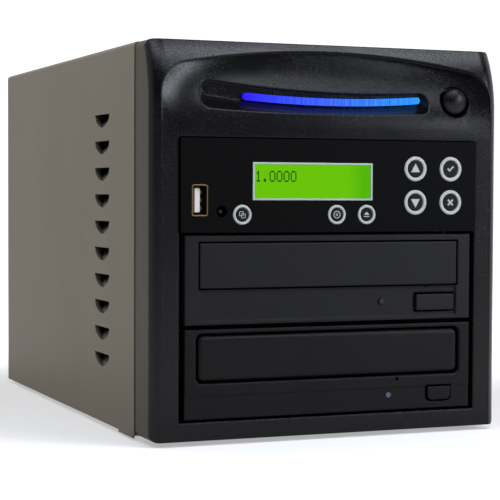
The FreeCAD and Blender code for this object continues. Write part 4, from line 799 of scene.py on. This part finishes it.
def screw_surface(low, high):
    """Pan-head screw with a cross recess, head outwards, in the box of a plain one.

    The head is a grid of rings and spokes: its height is a flattened dome, less the recess where a point
    lies within an arm of the cross. The rim and the shank are turned on the same spokes.
    """
    length = high - low
    axis = int(np.argmax(length))
    way = np.zeros(3)
    way[axis] = np.sign(low[axis] + high[axis])
    top = (low + high) / 2 + way * length[axis] / 2
    head = length.min() / 2
    share = np.linspace(0.0, 1.0, SCREW_RINGS)[:, None]
    angle = FULL_TURN * np.arange(SCREW_STEPS) / SCREW_STEPS
    along = np.abs(share * np.cos(angle))
    aside = np.abs(share * np.sin(angle))
    within = np.clip((RECESS_HALF - np.minimum(along, aside)) / RECESS_WALL, 0, 1)
    short = np.clip((RECESS_REACH - np.maximum(along, aside)) / RECESS_WALL, 0, 1)
    height = -HEAD_DOME * share ** HEAD_FLATNESS - RECESS_DEPTH * (within * short)
    dome = top + head * share[:, :, None] * spokes(way, SCREW_STEPS) + height[:, :, None] * way
    rim = [(head, -SCREW_HEAD), (SCREW_SHANK, -SCREW_HEAD)]
    foot = [(SCREW_SHANK, -length[axis]), (0.0, -length[axis])]
    shank, _ = turned(rim + foot, top, way, SCREW_STEPS)
    points = np.concatenate([dome.reshape(-1, 3), shank])
    return points, [grid_faces(len(points) // SCREW_STEPS, SCREW_STEPS)]


def make_screws():
    """Case screws with cross recesses, each in the place of its plain solid."""
    surfaces = [screw_surface(low, high) for low, high in solids_of("case_screws")]
    screws = make_piece("cross_recess_screws", surfaces, "case", "screw_steel")
    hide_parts("case_screws")


make_cap_marks()
make_display_dots()
make_socket_contacts()
make_power_face()
# Black strip of painted shade in the gap behind the collar
make_gap_shade()
make_screws()


# Stage, lamps and camera


def stage_finish(name, near_lift):
    """White stage: lit diffusely, with a lift of plain white for the camera and for reflections.

    The lift eases from its near value to full white between two distances from the object, and dims towards
    the open front of the studio.
    """
    material = bpy.data.materials.new(name)
    material.use_nodes = True
    tree = material.node_tree
    tree.nodes.clear()
    diffuse = tree.nodes.new("ShaderNodeBsdfDiffuse")
    diffuse.inputs["Color"].default_value = (STAGE_ALBEDO, STAGE_ALBEDO, STAGE_ALBEDO, 1)
    path = tree.nodes.new("ShaderNodeLightPath")
    seen = math_node(tree, "MAXIMUM", path.outputs["Is Camera Ray"], path.outputs["Is Glossy Ray"])
    seen = math_node(tree, "MAXIMUM", seen, path.outputs["Is Transmission Ray"])
    place, axes = object_place(tree)
    reach = tree.nodes.new("ShaderNodeVectorMath")
    reach.operation = "LENGTH"
    tree.links.new(place, reach.inputs[0])
    ease = map_range(tree, reach.outputs["Value"], LIFT_NEAR, LIFT_FAR, near_lift, kind="SMOOTHSTEP")
    front = map_range(tree, axes["Y"], FRONT_FAR, FRONT_NEAR, FRONT_DIM, kind="SMOOTHSTEP")
    lift = math_node(tree, "MULTIPLY", ease, front)
    glow = tree.nodes.new("ShaderNodeEmission")
    tree.links.new(math_node(tree, "MULTIPLY", seen, lift), glow.inputs["Strength"])
    total = tree.nodes.new("ShaderNodeAddShader")
    tree.links.new(diffuse.outputs["BSDF"], total.inputs[0])
    tree.links.new(glow.outputs["Emission"], total.inputs[1])
    end = tree.nodes.new("ShaderNodeOutputMaterial")
    tree.links.new(total.outputs["Shader"], end.inputs["Surface"])
    return material


def stage_sheet(name, corners, finish):
    """One four-cornered sheet of the stage."""
    mesh = bpy.data.meshes.new(name)
    mesh.from_pydata(corners, [], [(0, 1, 2, 3)])
    mesh.materials.append(finish)
    sheet = bpy.data.objects.new(name, mesh)
    bpy.context.scene.collection.objects.link(sheet)


def make_stage():
    """Pale floor under the feet, with white backdrops behind and at both sides."""
    half = FLOOR_HALF
    floor = [(-half, -half, 0), (half, -half, 0), (half, half, 0), (-half, half, 0)]
    stage_sheet("floor", floor, stage_finish("floor_white", FLOOR_LIFT))
    white = stage_finish("backdrop_white", BACKDROP_LIFT)
    corners = [(-half, SIDE_FRONT), (-half, BACKDROP_Y), (half, BACKDROP_Y), (half, SIDE_FRONT)]
    for name, first, second in zip(("left", "rear_left", "rear_right"), corners, corners[1:]):
        sheet = [(*first, 0), (*second, 0), (*second, BACKDROP_TOP), (*first, BACKDROP_TOP)]
        stage_sheet(name + "_backdrop", sheet, white)


def make_world():
    """Dim even surround."""
    world = bpy.data.worlds.new("studio")
    world.use_nodes = True
    world.node_tree.nodes["Background"].inputs["Color"].default_value = (1, 1, 1, 1)
    world.node_tree.nodes["Background"].inputs["Strength"].default_value = WORLD_LEVEL
    bpy.context.scene.world = world


def put(name, data, axes, place):
    """Object at a place, with its own X, Y and Z along three directions."""
    thing = bpy.data.objects.new(name, data)
    bpy.context.scene.collection.objects.link(thing)
    turn = np.eye(4)
    turn[:3] = np.column_stack([*axes, place])
    thing.matrix_world = Matrix(turn.tolist())
    return thing


def make_lamp(name, place, aim, width, height, power, colour):
    """Rectangular softbox at a place, turned to its aim."""
    data = bpy.data.lights.new(name, "AREA")
    data.shape = "RECTANGLE"
    data.size = width
    data.size_y = height
    data.energy = power
    data.color = linear(colour)[:3]
    back = np.array(place) - np.array(aim)
    back = back / np.linalg.norm(back)
    side = np.cross(UP, back)
    side = side / np.linalg.norm(side)
    put(name, data, (side, np.cross(back, side), back), place)


def make_camera():
    """Camera from its fitted yaw, pitch and roll: it looks along `ahead`, rolled about that line."""
    level = math.cos(CAMERA_PITCH)
    ahead = np.array([math.sin(CAMERA_YAW) * level, math.cos(CAMERA_YAW) * level, math.sin(CAMERA_PITCH)])
    right = np.array([math.cos(CAMERA_YAW), -math.sin(CAMERA_YAW), 0.0])
    above = np.cross(right, ahead)
    rolled_right = math.cos(CAMERA_ROLL) * right + math.sin(CAMERA_ROLL) * above
    rolled_above = -math.sin(CAMERA_ROLL) * right + math.cos(CAMERA_ROLL) * above
    data = bpy.data.cameras.new("camera")
    data.lens = CAMERA_LENS
    data.sensor_width = CAMERA_SENSOR
    bpy.context.scene.camera = put("camera", data, (rolled_right, rolled_above, -ahead), CAMERA_PLACE)


make_stage()
make_world()
for lamp_name, lamp_values in LAMPS.items():
    make_lamp(lamp_name, *lamp_values)
make_camera()
bpy.context.scene.view_settings.view_transform = "Standard"
